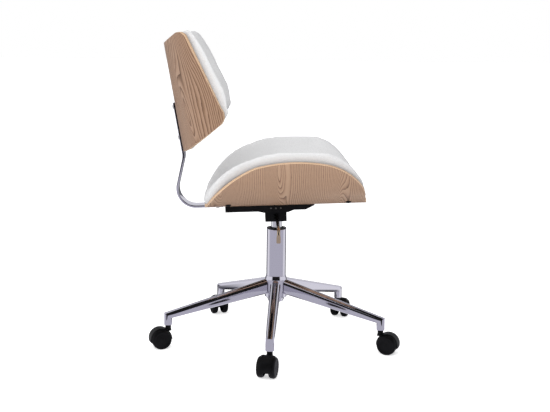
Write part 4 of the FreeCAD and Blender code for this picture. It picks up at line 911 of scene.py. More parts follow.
@dataclass
class BackBar:
    """Flat chromed bar: up the back's rear face, round two bends and under the seat."""

    foot: tuple[float, float] = BACK_FOOT
    lean: float = math.radians(BACK_LEAN)
    tilt: float = math.radians(SEAT_RISE)
    slope: float = math.radians(12.0)
    seat_level: float = SEAT_LEVEL
    width: float = 50.0 * MM
    thickness: float = 6.0 * MM
    eased: float = 1.3 * MM
    top: float = 122.0 * MM
    leave: float = 5.0 * MM
    upper_bend: float = 42.0 * MM
    lower_bend: float = 46.0 * MM
    end: float = 136.0 * MM

    def path(self) -> tuple[np.ndarray, np.ndarray]:
        """Centreline and outward directions of the bar in the XZ plane.

        The lower bend's centre lies one bend radius from the sloping run and from the run under the seat,
        found by sliding down the sloping run.

        Returns:
            The points and the unit directions away from the chair's inside, as arrays of (x, z).
        """
        half = self.thickness / 2
        up = np.array([-math.sin(self.lean), math.cos(self.lean)])
        rear = np.array([-math.cos(self.lean), -math.sin(self.lean)])
        start = np.array(self.foot) + rear * half
        centre = start - up * self.leave + rear * self.upper_bend
        angles = np.linspace(self.lean, -self.slope, 10)
        upper = centre + self.upper_bend * compass(angles)
        run_x, run_z = upper[-1]
        base_x = run_x + self.lower_bend * math.cos(self.slope)
        base_z = run_z - self.lower_bend * math.sin(self.slope)
        wanted = self.seat_level + (self.lower_bend - half) / math.cos(self.tilt)
        slide = (base_z - wanted - base_x * math.tan(self.tilt)) / (
            math.cos(self.slope) - math.sin(self.slope) * math.tan(self.tilt))
        turn = np.array([base_x - slide * math.sin(self.slope), base_z - slide * math.cos(self.slope)])
        turns = np.linspace(math.pi - self.slope, 1.5 * math.pi + self.tilt, 22)
        lower = turn + self.lower_bend * compass(turns)
        forward = np.array([math.cos(self.tilt), math.sin(self.tilt)])
        below = np.array([math.sin(self.tilt), -math.cos(self.tilt)])
        last = np.array([0.0, self.seat_level]) - forward * self.end + below * half
        points = np.vstack([start + up * self.top, start, upper, lower, last])
        outs = np.vstack([rear, rear, -compass(angles), compass(turns), below])
        return points, outs

    def build(self) -> None:
        """The bar: a rounded oblong carried along the path."""
        points, outs = self.path()
        half, thick = self.width / 2, self.thickness / 2
        corners = [(-half, -thick), (half, -thick), (half, thick), (-half, thick)]
        section = np.array(soft_corners(corners, self.eased, closed=True))
        rows = sweep(in_xz(points), in_xz(outs), section, Y_AXIS)
        Skin().grid(rows).piece("support_bar", CHROME, "seat", "chrome", "back_bar")


@dataclass
class Fasteners:
    """Domed screws and black caps under the seat and behind the back."""

    seat: Place
    back: Place
    plate_mm: float = 2.5
    bar_mm: float = 6.0
    flat_mm: float = 40.0
    bend_mm: float = 175.0
    cap_turn: float = 65.0 / 175.0

    @staticmethod
    def screws(name: str, node: str, place: Place, forward: tuple[float, float, float],
               out: tuple[float, float, float], shank: float,
               spots: list[tuple[float, float, float]]) -> None:
        """Domed heads with round sockets, on their shanks, as one piece.

        Args:
            name: the piece's name.
            node: the CAD node that it stands for.
            place: the panel's axes.
            forward: a direction square to the screws.
            out: the way the heads point, in the panel's axes.
            shank: the shanks' length, in mm.
            spots: where the heads sit, in the panel's axes and mm.
        """
        head = [(0, 1.0), (2.0, 1.0), (2.1, 2.9), (2.6, 3.0), (4.2, 2.6), (5.2, 1.6), (5.6, 0.3), (5.6, 0)]
        profile = in_mm([*head, (3.0, 0), (3.0, -shank), (0, -shank)])
        skin = Skin()
        for spot in spots:
            skin.lathe(profile, place.facing(np.array(spot) * MM, out, forward), 36)
        skin.piece(name, ZINC, "seat", "zinc", node)

    def build(self) -> None:
        """The three sets of screws, and the caps square to the rolled sides of the seat."""
        seat, back, pair = self.seat, self.back, (-14.0, 14.0)
        self.screws("plate_screws", "plate_bolts", seat, seat.forward, (0, 0, -1), 11.2,
                    [(x, y, -self.plate_mm) for x in (-105.0, 60.0) for y in (-30.0, 30.0)])
        self.screws("bar_seat_screws", "bar_seat_bolts", seat, seat.forward, (0, 0, -1), 14.7,
                    [(-150.0, y, -self.bar_mm) for y in pair])
        self.screws("bar_back_screws", "bar_back_bolts", back, back.up, (-1, 0, 0), 14.7,
                    [(-self.bar_mm, y, z) for z in (35.0, 112.0) for y in pair])
        cap = [(0, 3.8), (3.4, 3.6), (5.6, 2.8), (6.9, 1.3), (7.2, 0.1), (2.2, 0.1), (2.2, -14.2), (0, -14.2)]
        sine, cosine = math.sin(self.cap_turn), math.cos(self.cap_turn)
        caps = Skin()
        for x in (-121.0, 172.0):
            for side in (-1, 1):
                spot = [x, side * (self.flat_mm + self.bend_mm * sine), self.bend_mm - self.bend_mm * cosine]
                axes = seat.facing(np.array(spot) * MM, (0.0, side * sine, -cosine), seat.forward)
                caps.lathe(in_mm(cap), axes, 40)
        caps.piece("screw_caps", NYLON, "seat", "black_plastic", "seat_caps")


@dataclass
class HeightLever:
    """Chromed rod that bends down into a flattened paddle, and the coated crank inside the housing."""

    forward: float = -1.0 * MM
    level: float = 330.0 * MM
    start: float = -10.0 * MM
    reach: float = 216.0 * MM
    bend: float = 12.0 * MM
    drop: float = 31.0 * MM
    half_mm: float = 4.0
    wider_mm: float = 1.0
    flatter_mm: float = 1.25
    tip_length: float = 1.5 * MM
    tip_narrowing: float = 0.25
    tip_thinning: float = 0.35

    def build(self) -> None:
        """A section carried out along -Y, round the bend and down, from a circle to a rounded oblong.

        The section's half sizes go from (4, 4) to (5, 2.75) mm over the first third of the drop, and its
        corners follow |x / a|^n + |y / b|^n = 1 with n from 2 to 4.
        """
        turn = np.linspace(0, math.pi / 2, 10)
        straight = np.linspace(self.start, -(self.reach - self.bend), 6)[:-1]
        arc_y = -(self.reach - self.bend) - self.bend * np.sin(turn)
        arc_z = self.level - self.bend * (1 - np.cos(turn))
        down = np.linspace(self.level - self.bend, self.level - self.drop, 12)[1:]
        y = np.concatenate([straight, arc_y, np.full(len(down), -self.reach)])
        z = np.concatenate([np.full(len(straight), self.level), arc_z, down])
        path = np.stack([np.full_like(y, self.forward), y, z], axis=-1)
        slope = np.concatenate([np.zeros(len(straight)), turn, np.full(len(down), math.pi / 2)])
        out = np.stack([np.zeros_like(slope), -np.sin(slope), np.cos(slope)], axis=-1)
        share = np.clip((self.level - self.bend - z) / (self.drop - self.bend) * 3, 0, 1)
        tip = np.clip(((self.level - self.drop) - z) / self.tip_length + 1, 0, 1)
        wide = (self.half_mm + self.wider_mm * share) * MM * (1 - self.tip_narrowing * tip**2)
        thick = (self.half_mm - self.flatter_mm * share) * MM * (1 - self.tip_thinning * tip**2)
        power = 2 / (2 + 2 * share)
        angle = np.linspace(0, 2 * np.pi, 40, endpoint=False)
        c, s = np.cos(angle), np.sin(angle)
        across = wide[:, None] * np.sign(c) * np.abs(c) ** power[:, None]
        off = thick[:, None] * np.sign(s) * np.abs(s) ** power[:, None]
        rows = sweep(path, out, np.stack([across, off], axis=-1), np.array([1.0, 0.0, 0.0]))
        Skin().grid(rows).piece("height_lever", LEVER_NICKEL, "lever", "chrome", "lever")
        pivot = Place((self.forward, -22 * MM, self.level), (0, 1, 0), (0, 0, 1), (1, 0, 0))
        barrel = in_mm([(2.56, -12), (4.2, -12), (4.6, -11.6), (4.6, 11.6), (4.2, 12), (2.56, 12)])
        skin = Skin().lathe(barrel, pivot, 40, ring=True)
        crank = [(-26.6, 331), (-19.5, 331), (-19.5, 351.3), (4, 351.3), (4, 355.3), (-26.6, 355.3)]
        outline = np.array(soft_corners(in_mm(crank), 0.8 * MM, closed=True, steps=2))
        sides = [-4.5 * MM, 4.5 * MM]
        loops = [np.stack([np.full(len(outline), x), outline[:, 0], outline[:, 1]], axis=-1) for x in sides]
        skin.grid(np.array(loops), centres=np.array([(x, -23.0 * MM, 353.3 * MM) for x in sides]))
        skin.piece("lever_crank", COATED_STEEL, "lever", "chrome", "lever")


@dataclass(frozen=True)
class Bend:
    """A sheet that is flat in its middle and rolled up round both sides.

    With base the nearest point of the flat and t = (around - base) / radius, a point lies at
    across = base + (bend - depth) sin t and out = bend - (bend - depth) cos t.
    """

    place: Place
    upright: bool
    flat: float
    bend: float

    def roll(self, around: np.ndarray, along: np.ndarray, depth: np.ndarray, radius: float) -> np.ndarray:
        """Points of the unrolled plane in the row frame.

        Args:
            around: distance round the bend, measured at the radius.
            along: distance in the sheet's straight direction.
            depth: distance in from the outer face.
            radius: the radius at which around is measured.

        Returns:
            The points.
        """
        base = np.clip(around, -self.flat, self.flat)
        turn = (around - base) / radius
        across = base + (self.bend - depth) * np.sin(turn)
        out = self.bend - (self.bend - depth) * np.cos(turn)
        parts = [out, across, along] if self.upright else [along, across, out]
        return self.place(np.stack(parts, axis=-1))

    def depth(self, points: np.ndarray) -> np.ndarray:
        """How far in from the outer face row-frame points lie.

        Args:
            points: row-frame points.

        Returns:
            The depths.
        """
        axes = np.array([self.place.forward, self.place.left, self.place.up])
        local = (points - np.asarray(self.place.origin)) @ axes.T
        out = local[:, 0] if self.upright else local[:, 2]
        beyond = np.maximum(np.abs(local[:, 1]) - self.flat, 0)
        return self.bend - np.hypot(beyond, self.bend - out)

    def unroll(self, out: np.ndarray, depth: float) -> np.ndarray:
        """Distance round the outer face at which the sheet, at a depth in it, has come forward by out."""
        cosine = (self.bend - np.asarray(out)) / (self.bend - depth)
        return self.flat + self.bend * np.arccos(np.clip(cosine, -1, 1))

    def cover(self, centre: np.ndarray, unit: np.ndarray, rows: list[tuple[np.ndarray, object]],
              radius: float) -> Skin:
        """A closed surface through loops that are laid out in the unrolled plane.

        Args:
            centre: where the spokes start.
            unit: the spokes' directions.
            rows: each loop's distances along the spokes and its depths.
            radius: the radius at which distances round the bend are measured.

        Returns:
            The surface.
        """
        loops = [(centre + unit * distance[:, None], depth) for distance, depth in rows]
        return Skin().grid(np.array([self.roll(*loop.T, depth, radius) for loop, depth in loops]))


def spokes_to(loop: np.ndarray, centre: np.ndarray) -> tuple[np.ndarray, np.ndarray]:
    """Lengths and directions of the lines from a centre to a loop's points."""
    reach = np.linalg.norm(loop - centre, axis=1)
    return reach, (loop - centre) / reach[:, None]


@dataclass
class BentPanel:
    """Bent plywood shell, its edge cut square to the sheet and eased.

    Its rows run from the middle of the outer face to the edge, round the edge, and back over the inner face.
    """

    name: str
    node: str
    finish: Finish
    sheet: Bend
    edge: np.ndarray
    thickness: float = 9.0 * MM
    eased: float = 1.1 * MM
    spokes: int = 400

    def build(self) -> None:
        """The shell, from half of its outline in the unrolled plane."""
        mirrored = self.edge[::-1] * np.array([-1.0, 1.0])
        loop = even_loop(np.vstack([self.edge, mirrored]), self.spokes)
        centre = np.array([0.0, (loop[:, 1].min() + loop[:, 1].max()) / 2])
        reach, unit = spokes_to(loop, centre)
        face = np.linspace(0.03, 1, 26)
        turns = np.linspace(0, math.pi / 2, 4)
        ease = [(reach + self.eased * (math.sin(a) - 1), self.eased * (1 - math.cos(a))) for a in turns]
        rows = [((reach - self.eased) * share, 0.0) for share in face]
        rows += [*ease[1:], (reach, self.thickness / 2)]
        rows += [(distance, self.thickness - depth) for distance, depth in ease[::-1]]
        rows += [((reach - self.eased) * share, self.thickness) for share in face[-2::-1]]
        shell = self.sheet.cover(centre, unit, rows, self.sheet.bend)
        shell.piece(self.name, self.finish, "seat", "veneer", self.node)


@dataclass
class SoftPad:
    """Padded leather cushion on a bent panel.

    Its outline lies in the panel's unrolled plane. From the middle of the outline a spoke goes out over the
    crown, height = rim + (thickness - rim)(1 - share^2), down a quarter ellipse 1.4 rims wide, round the foot
    and back under. The underside dips by the tuck at the rear end, over the edges of the board and the shell.
    """

    name: str
    node: str
    sheet: Bend
    wing: float
    start: float
    length: float
    overhang: float
    rims: tuple[float, float]
    thickness: float
    shares: list[tuple[float, float, float, float, float]]
    level: float = 14.6 * MM
    end_overhang: float = 2.0 * MM
    tuck: float = 0.0
    tuck_length: float = 45.0 * MM
    spokes: int = 220
    voxel: float = 5.0 * MM
    cap: float = 2.5 * MM
    shoulder: float = 1.4
    foot: float = 0.3
    held: float = 1.5 * MM

    def outline(self) -> np.ndarray:
        """The closed outline in the unrolled plane, with the rim's height at each point.

        Returns:
            Points (around, along, rim).
        """
        inner = self.sheet.bend - self.level
        half_arc = self.sheet.flat + inner * math.acos(1 - self.wing / self.sheet.bend) + self.overhang
        along = self.length + 2 * self.end_overhang
        table = np.array(self.shares)
        table = np.vstack([table[:0:-1] * np.array([-1, 1, 1, 1, 1]), table])
        first = self.start - self.end_overhang
        rear, front = (np.stack([table[:, 0] * half_arc, first + table[:, 1 + end] * along,
                                 table[:, 3 + end] * self.rims[end]], axis=-1) for end in (0, 1))
        return even_loop(smooth_loop(np.vstack([front, rear[::-1]]), 12), self.spokes)

    def shell(self) -> Skin:
        """The pad's surface: rows over the crown, round the rim and back under.

        Returns:
            The surface.
        """
        loop = self.outline()
        edge, rim = loop[:, :2], loop[:, 2]
        centre = np.array([0.0, edge[:, 1].mean()])
        reach, unit = spokes_to(edge, centre)
        shoulder, foot, quarter = self.shoulder * rim, self.foot * rim, math.pi / 2
        dip = self.tuck * np.clip(1 - (edge[:, 1] - edge[:, 1].min()) / self.tuck_length, 0, 1)
        rows = [((reach - shoulder) * share, rim + (self.thickness - rim) * (1 - share**2))
                for share in np.linspace(0.04, 1, 28)]
        rows += [(reach - shoulder * (1 - math.cos(angle)), foot + (rim - foot) * math.sin(angle))
                 for angle in np.linspace(quarter, 0, 12)[1:]]
        rows += [(reach - foot * (1 - math.cos(angle)), foot - (foot + dip) * math.sin(angle))
                 for angle in np.linspace(0, quarter, 6)[1:]]
        rows += [((reach - foot) * share, -dip * np.clip((share - 0.8) / 0.1, 0, 1))
                 for share in np.linspace(0.99, 0.04, 20)]
        rows = [(distance, self.level + height) for distance, height in rows]
        return self.sheet.cover(centre, unit, rows, self.sheet.bend - self.level)

    def build(self) -> None:
        """The pad, inflated over its fixed underside and smoothed."""
        pad = self.shell().piece(self.name, LEATHER, "seat", "white_leather", self.node)
        held = self.level + self.held
        inflate(pad, self.voxel, self.cap, lambda points: self.sheet.depth(points) < held)


def three_point_arc(start: np.ndarray, via: np.ndarray, end: np.ndarray, steps: int = 14) -> np.ndarray:
    """Points on the circle through three points; its centre is as far from the first as from the others.

    Args:
        start: the first point.
        via: a point between.
        end: the last point.
        steps: how many points.

    Returns:
        The points.
    """
    matrix = 2 * np.array([via - start, end - start])
    centre = np.linalg.solve(matrix, [via @ via - start @ start, end @ end - start @ start])
    first, through, last = (math.atan2(*(spot - centre)[::-1]) for spot in (start, via, end))
    turn, part = (last - first) % (2 * math.pi), (through - first) % (2 * math.pi)
    angle = first + np.linspace(0, turn if part < turn else turn - 2 * math.pi, steps)
    return centre + np.linalg.norm(start - centre) * compass(angle)


def trace(marks: list[tuple[float, float, bool]]) -> np.ndarray:
    """Follow marks (x, y, passed): a passed mark bends the edge between its neighbours into an arc.

    Args:
        marks: the marks in their order.

    Returns:
        The edge's points.
    """
    spots = np.array([mark[:2] for mark in marks])
    lines = []
    for index, mark in enumerate(marks[:-1]):
        if mark[2]:
            lines.append(three_point_arc(*spots[index - 1:index + 2])[:-1])
        elif not marks[index + 1][2]:
            lines.append(np.linspace(spots[index], spots[index + 1], 8)[:-1])
    return np.vstack([*lines, spots[-1:]])


def even_loop(points: np.ndarray, count: int) -> np.ndarray:
    """A closed loop at even steps of its length in the first two columns.

    Args:
        points: the loop's points.
        count: how many points it gets.

    Returns:
        The points.
    """
    closed = np.vstack([points, points[:1]])
    length = np.concatenate([[0], np.cumsum(np.linalg.norm(np.diff(closed[:, :2], axis=0), axis=1))])
    wanted = np.linspace(0, length[-1], count, endpoint=False)
    return np.stack([np.interp(wanted, length, closed[:, k]) for k in range(closed.shape[1])], axis=-1)


def smooth_loop(corners: np.ndarray, steps: int) -> np.ndarray:
    """A closed Catmull-Rom curve through points.

    Between points 1 and 2 of each four in a row it is
    (2 P1 + (P2 - P0) t + (2 P0 - 5 P1 + 4 P2 - P3) t^2 + (3 P1 - P0 - 3 P2 + P3) t^3) / 2.

    Args:
        corners: the points.
        steps: new points for each.

    Returns:
        The curve's points.
    """
    p0, p1, p2, p3 = (np.roll(corners, shift, axis=0)[:, None] for shift in (1, 0, -1, -2))
    t = np.linspace(0, 1, steps, endpoint=False)[None, :, None]
    bend = (2 * p0 - 5 * p1 + 4 * p2 - p3) * t**2 + (3 * p1 - p0 - 3 * p2 + p3) * t**3
    return ((2 * p1 + (p2 - p0) * t + bend) / 2).reshape(-1, corners.shape[1])


def coordinates(mesh: bpy.types.Mesh) -> np.ndarray:
    """A mesh's points as an array.

    Args:
        mesh: the mesh.

    Returns:
        Its points.
    """
    flat = np.empty(len(mesh.vertices) * 3)
    mesh.vertices.foreach_get("co", flat)
    return flat.reshape(-1, 3)


def evaluated(made: bpy.types.Object) -> bpy.types.Object:
    """An object with its modifiers applied."""
    return made.evaluated_get(bpy.context.evaluated_depsgraph_get())


def inflate(pad: bpy.types.Object, voxel: float, cap: float, held: Callable[[np.ndarray], np.ndarray],
            pressure: float = 4.0, frames: int = 20) -> None:
    """Blow a pad up as cloth under pressure, with its underside held, and keep the result in its mesh.

    Args:
        pad: the closed pad.
        voxel: edge length of the even mesh that is inflated.
        cap: the furthest that a point may move.
        held: says which points stay where they are.
        pressure: the pressure in the pad.
        frames: steps of the simulation.
    """
    scene = bpy.context.scene
    remesh = pad.modifiers.new("even", "REMESH")
    remesh.mode, remesh.voxel_size = "VOXEL", voxel
    even = bpy.data.meshes.new_from_object(evaluated(pad))
    pad.modifiers.remove(remesh)
    pad.data = even
    start = coordinates(even)
    group = pad.vertex_groups.new(name="held")
    group.add(np.nonzero(held(start))[0].tolist(), 1.0, "REPLACE")
    cloth = pad.modifiers.new("pressure", "CLOTH")
    settings = cloth.settings
    settings.use_pressure = True
    settings.uniform_pressure_force = pressure
    settings.vertex_group_mass = group.name
    settings.effector_weights.gravity = 0.0
    settings.quality = 5
    cloth.point_cache.frame_start, cloth.point_cache.frame_end = 1, frames
    for frame in range(1, frames + 1):
        scene.frame_set(frame)
    moved = coordinates(evaluated(pad).data) - start
    pad.modifiers.remove(cloth)
    scene.frame_set(1)
    length = np.linalg.norm(moved, axis=1, keepdims=True)
    moved *= np.minimum(1, cap / np.maximum(length, 1e-9))
    even.vertices.foreach_set("co", (start + moved).ravel())
    even.update()
    smooth = pad.modifiers.new("relax", "SMOOTH")
    smooth.factor, smooth.iterations = 0.5, 14
    finer = pad.modifiers.new("finer", "SUBSURF")
    finer.levels = finer.render_levels = 1
    finished = bpy.data.meshes.new_from_object(evaluated(pad))
    pad.modifiers.clear()
    pad.data = finished
    pad.data.shade_smooth()
    pad.vertex_groups.clear()


def dress_nodes(nodes: dict[str, bpy.types.Object], finishes: dict[str, Finish]) -> None:
    """Give the CAD nodes that stay in view their finishes.

    Args:
        nodes: the CAD nodes by name.
        finishes: node name, or the start of several names, to finish.
    """
    for name, node in nodes.items():
        for start, finish in finishes.items():
            if name.startswith(start):
                for place in node.material_slots:
                    place.material = finish.material()


@dataclass
class Studio:
    """Pale floor, soft lights and the camera at the photograph's angle."""

    position: tuple[float, float, float] = (-71.2 * MM, -2541.8 * MM, 776.6 * MM)
    right: tuple[float, float, float] = (0.99963478, -0.02414813, 0.01213143)
    up: tuple[float, float, float] = (-0.00798068, 0.16509717, 0.98624502)
    lens: float = 66.38
    floor: str = "FAFAFA"
    mirrored_floor: str = "C6C5D0"
    mirrored_side: str = "F6F6FA"
    mirrored_far: str = "6A6A70"
    dark: str = "0E0E0F"
    glow: float = 0.12
    camera_glow: float = 0.4
    dark_beyond: tuple[float, float] = (-3.6, -3.1)
    dark_studio: float = 0.012
    left_to_right: tuple[float, float] = (1.12, 0.46)
    floor_to_top: tuple[float, float] = (0.7, 1.1)

    def camera(self) -> None:
        """Camera from its place and the directions of the picture's right and up."""
        data = bpy.data.cameras.new("camera")
        data.lens, data.sensor_width = self.lens, 36.0
        made = stand("camera", data)
        right, up = Vector(self.right), Vector(self.up)
        turn = Matrix((right, up, right.cross(up))).transposed()
        made.matrix_world = Matrix.Translation(self.position) @ turn.to_4x4()
        bpy.context.scene.camera = made

    def ground(self) -> None:
        """Large pale floor that glows mostly to the camera.

        Polished metal sees it grey in front, white to the sides and dark behind and far off.
        """
        half = 30.0
        corners = [(-half, -half, 0), (half, -half, 0), (half, half, 0), (-half, half, 0)]
        mesh = bpy.data.meshes.new("floor")
        mesh.from_pydata(corners, [], [(0, 1, 2, 3)])
        material = bpy.data.materials.new("pale_floor")
        graph = Graph.of(material)
        add = graph.add
        ray = add("LightPath").outputs
        glow = add("Math", (ray["Is Camera Ray"], self.camera_glow, self.glow), operation="MULTIPLY_ADD")
        plain = add("BsdfPrincipled", {"Base Color": linear(self.floor), "Roughness": 0.9,
                                       "Specular IOR Level": 0.1, "Emission Color": linear("FFFFFF"),
                                       "Emission Strength": glow})
        spot = add("TexCoord").outputs["Object"]
        aside = add("VectorMath", (spot,), operation="NORMALIZE")
        behind = add("MapRange", {"Value": add("SeparateXYZ", (aside,)).outputs["Y"], "From Min": -1.0})
        around = ramp(add("ValToRGB", {"Fac": behind}), [
            (0.0, self.mirrored_floor), (0.44, self.mirrored_floor), (0.52, self.mirrored_side),
            (0.76, self.mirrored_side), (0.84, self.mirrored_far)])
        near, far = self.dark_beyond
        lit = add("MapRange", {"Value": add("SeparateXYZ", (spot,)).outputs["Y"], "From Min": near,
                               "From Max": far}, interpolation_type="SMOOTHSTEP")
        mirrored = add("Mix", {"Factor": lit, "A": linear(self.dark), "B": around}, data_type="RGBA")
        shine = add("Emission", {"Color": mirrored.outputs["Result"]})
        add("OutputMaterial", {"Surface": add("MixShader", (ray["Is Glossy Ray"], plain, shine))})
        mesh.materials.append(material)
        stand("floor", mesh)

    def sky(self) -> None:
        """White to the camera, a soft dome for light, and for reflections a dark studio with lit screens."""
        world = bpy.data.worlds.new("studio")
        bpy.context.scene.world = world
        graph = Graph.of(world)
        add = graph.add
        x, y, z = add("SeparateXYZ", (add("TexCoord").outputs["Generated"],)).outputs
        aside = add("Math", (x,), operation="ABSOLUTE")
        screens = ((0.8, ((y, 0.15, 0.4), (z, 0.55, 0.35))),
                   (1.0, ((aside, 0.6, 0.72), (z, 0.62, 0.5))),
                   (1.0, ((z, 0.66, 0.74), (aside, 0.2, 0.26), (aside, 0.52, 0.46))))
        lit = self.dark_studio
        for screen, edges in screens:
            for value, start, end in edges:
                edge = add("MapRange", {"Value": value, "From Min": start, "From Max": end},
                           interpolation_type="SMOOTHSTEP")
                screen = add("Math", (edge, screen), operation="MULTIPLY")
            lit = add("Math", (screen, lit), operation="MAXIMUM")
        mirrored = add("Background", {"Color": linear("F4F4FA"), "Strength": lit})
        (left, right), (low, high) = self.left_to_right, self.floor_to_top
        sideways = add("MapRange", {"Value": x, "From Min": -0.8, "From Max": 0.8, "To Min": left,
                                    "To Max": right})
        upwards = add("MapRange", {"Value": z, "From Max": 0.9, "To Min": low, "To Max": high})
        dome = add("Math", (sideways, upwards), operation="MULTIPLY")
        soft = add("Background", {"Color": linear("FBFBFD"), "Strength": dome})
        plain = add("Background", {"Color": linear("FFFFFF"), "Strength": 1.0})
        ray = add("LightPath").outputs
        light = add("MixShader", (ray["Is Glossy Ray"], soft, mirrored))
        add("OutputWorld", {"Surface": add("MixShader", (ray["Is Camera Ray"], light, plain))})

    def lamp(self, name: str, position: tuple[float, float, float], size: tuple[float, float],
             power: float) -> None:
        """Soft oblong light that looks at the chair's middle.

        Args:
            name: the lamp's name.
            position: where it stands.
            size: its width and height.
            power: its power in watts.
        """
        data = bpy.data.lights.new(name, "AREA")
        data.shape = "RECTANGLE"
        data.size, data.size_y = size
        data.energy = power
        made = stand(name, data)
        made.location = position
        aim = Vector((0.0, 0.0, 0.4)) - Vector(position)
        made.rotation_euler = aim.to_track_quat("-Z", "Y").to_euler()
        made.visible_glossy = False

    def build(self) -> None:
        """Camera, floor, sky and lights."""
        self.camera()
        self.ground()
        self.sky()
        self.lamp("key", (-0.5, -2.6, 2.4), (1.8, 1.4), 55.0)
        self.lamp("rim", (-1.8, 1.9, 2.3), (1.4, 1.0), 16.0)
        bpy.context.scene.view_settings.view_transform = "Standard"


# Side outlines of the shells as shares of their length and wing; a passed mark bends its edge into an arc.
SEAT_SIDE = [(0.017, 0.127, False), (0.157, 0.611, True), (0.319, 0.913, False), (0.529, 1.000, True),
             (0.740, 0.933, False), (0.855, 0.768, True), (0.941, 0.508, False), (0.966, 0.333, True),
             (0.973, 0.175, False)]
BACK_SIDE = [(0.080, 0.000, False), (0.904, 0.230, False), (0.990, 0.312, True), (0.955, 0.368, False),
             (0.765, 0.673, True), (0.540, 1.026, False), (0.474, 1.063, True), (0.378, 1.071, False),
             (0.080, 1.000, False)]

# Pads: share of the half width round the bend, start, end, and the rear and front rims' shares.
SEAT_PAD = [
    (0.000, 0.000, 1.000, 1.00, 1.00), (0.155, 0.002, 0.998, 1.00, 1.00), (0.300, 0.006, 0.989, 1.00, 1.00),
    (0.400, 0.011, 0.980, 0.97, 1.00), (0.560, 0.042, 0.963, 0.88, 1.00), (0.700, 0.083, 0.936, 0.62, 1.00),
    (0.820, 0.148, 0.888, 0.54, 1.00), (0.900, 0.220, 0.846, 0.50, 0.98), (0.955, 0.308, 0.796, 0.46, 0.88),
    (0.985, 0.376, 0.744, 0.38, 0.72), (1.000, 0.436, 0.694, 0.30, 0.50),
]
BACK_PAD = [
    (0.000, 0.000, 1.000, 1.00, 1.00), (0.140, 0.004, 1.002, 1.00, 1.00), (0.300, 0.020, 1.012, 1.00, 1.00),
    (0.450, 0.060, 1.045, 1.00, 1.00), (0.600, 0.115, 1.075, 1.00, 1.00), (0.730, 0.165, 1.050, 1.00, 1.00),
    (0.840, 0.205, 0.885, 0.98, 0.98), (0.930, 0.252, 0.660, 0.90, 0.90), (0.975, 0.288, 0.560, 0.80, 0.80),
    (1.000, 0.330, 0.490, 0.60, 0.60),
]


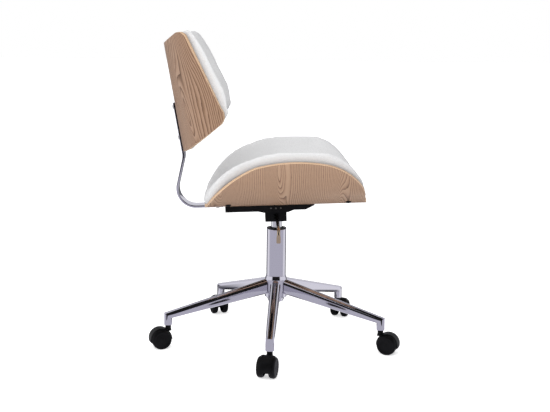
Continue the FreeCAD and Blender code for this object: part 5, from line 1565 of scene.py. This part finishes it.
@dataclass
class Upholstery:
    """The bent shells of the seat and the back, with their pads."""

    seat: Place
    back: Place
    seat_rear: float = -182.0 * MM
    seat_length: float = 405.5 * MM
    seat_wing: float = 126.0 * MM
    rear_sweep: float = 26.0 * MM
    front_sweep: float = 36.0 * MM
    sweep_at: float = 225.0 * MM
    back_height: float = 269.0 * MM
    back_wing: float = 124.5 * MM
    ply: float = 9.0 * MM
    setdown: float = 1.5 * MM

    def seat_edge(self, sheet: Bend) -> np.ndarray:
        """Half of the seat's outline: ends x = end +- sweep (y / sweep_at)^2, joined by the side outline.

        Args:
            sheet: the seat's sheet.

        Returns:
            Points (around, along).
        """
        side = trace([(self.seat_rear + a * self.seat_length, b * self.seat_wing, bent)
                      for a, b, bent in SEAT_SIDE])
        side = np.stack([sheet.unroll(side[:, 1] - self.setdown, self.ply), side[:, 0]], axis=-1)
        ends = []
        for corner, end, sweep in ((side[0], self.seat_rear, self.rear_sweep),
                                   (side[-1], self.seat_rear + self.seat_length, -self.front_sweep)):
            around = np.linspace(0, corner[0], 18)[:-1]
            across = sheet.roll(around, around, np.zeros_like(around), sheet.bend)[:, 1]
            ends.append(np.stack([around, end + sweep * (across / self.sweep_at) ** 2], axis=-1))
        return np.vstack([ends[0], side, ends[1][::-1]])

    def back_edge(self, sheet: Bend) -> np.ndarray:
        """Half of the back's outline: level ends joined by the side outline.

        Args:
            sheet: the back's sheet.

        Returns:
            Points (around, along).
        """
        side = trace([(a * self.back_wing, b * self.back_height, bent) for a, b, bent in BACK_SIDE])
        side = np.stack([sheet.unroll(side[:, 0] - self.setdown, self.ply), side[:, 1]], axis=-1)
        across = np.linspace(0, side[0, 0], 12)[:-1]
        foot = np.stack([across, np.zeros_like(across)], axis=-1)
        head = np.stack([across, np.full_like(across, self.back_height)], axis=-1)
        return np.vstack([foot, side, head[::-1]])

    def build(self) -> None:
        """Both shells and both pads."""
        seat = Bend(self.seat, False, flat=40 * MM, bend=175 * MM)
        back = Bend(self.back, True, flat=30 * MM, bend=165 * MM)
        seat_ash = AshVeneer(
            "ash_veneer_seat", origin=self.seat.origin, turn=-math.radians(SEAT_RISE), flat=seat.flat,
            bend=seat.bend, ring_mm=4.3, figure=6.0, figure_length_mm=220.0,
            arches=((-1.0, -250.0, 17.0, 125.0, 10.0), (148.0, -85.0, 17.0, 110.0, 9.0),
                    (-133.0, -190.0, 20.0, 100.0, -10.0), (75.0, 120.0, 16.0, 120.0, 8.0)))
        # The back's veneer is painted lighter and paler in the middle of the bend and darker and warmer on
        # the wings, in place of light and a lacquer reflection.
        back_ash = AshVeneer(
            "ash_veneer_back", origin=self.back.origin, turn=-math.radians(BACK_LEAN), flat=back.flat,
            bend=back.bend, upright=True, grain_around=False, seed=4.3, pale="A88972", middle="8D6E56",
            dark="4C301C", figure_length_mm=260.0, ring_mm=7.0, figure=11.0, skew=-0.18, painted_light_round_bend=0.9,
            painted_reflection_warmth=1.06, arches=((-112.0, 200.0, 13.0, 90.0, 5.0), (-150.0, 90.0, 14.0, 90.0, -5.0),
                                      (88.0, 120.0, 14.0, 90.0, 5.0)))
        BentPanel("seat_panel", "seat_shell", seat_ash, seat, self.seat_edge(seat)).build()
        BentPanel("back_panel", "back_shell", back_ash, back, self.back_edge(back)).build()
        SoftPad("seat_pad", "seat_cushion", seat, wing=self.seat_wing, start=self.seat_rear - 2 * MM,
                length=self.seat_length + 3 * MM, overhang=17 * MM, rims=(34 * MM, 20 * MM),
                thickness=45 * MM, shares=SEAT_PAD, tuck=10 * MM).build()
        SoftPad("back_pad", "back_cushion", back, wing=self.back_wing, start=0.0, length=self.back_height,
                overhang=4 * MM, rims=(19 * MM, 19 * MM), thickness=36 * MM, shares=BACK_PAD).build()


def main() -> None:
    """Build the chair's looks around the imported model."""
    logging.basicConfig(level=logging.INFO, format="%(message)s")
    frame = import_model()
    seat = Place.turned((0.0, 0.0, SEAT_LEVEL), rise=SEAT_RISE)
    back = Place.turned((BACK_FOOT[0], 0.0, BACK_FOOT[1]), rise=BACK_LEAN)
    Studio().build()
    base = StarBase()
    base.build()
    headings = (254.0, -21.5, 65.0, 107.0, 198.5)
    for number, heading in enumerate(headings, start=1):
        angle = math.radians(base.bearing(number))
        TwinCastor(number, (base.radius * math.cos(angle), base.radius * math.sin(angle)), heading).build()
    BackBar().build()
    Fasteners(seat, back).build()
    HeightLever().build()
    Upholstery(seat, back).build()
    bare_ply = AshVeneer("bare_plywood", origin=seat.origin, turn=-math.radians(SEAT_RISE), ring_mm=9.0)
    finishes = dict.fromkeys(("seat_board", "back_board"), bare_ply)
    finishes |= dict.fromkeys(("mechanism_plate", "taper_housing"), COATED_STEEL)
    finishes |= {"flange_rivets": RIVET, "seat_nuts": ZINC, "back_nuts": ZINC, "stem_bushes": NYLON,
                 "rod_buffer": RUBBER}
    finishes |= dict.fromkeys(("castor_", "piston_rod", "rod_washer", "rod_clip", "thrust_bearing",
                               "release_pin", "lever_pivot"), STEEL)
    dress_nodes(frame["nodes"], finishes)


if __name__ == "__main__":
    main()
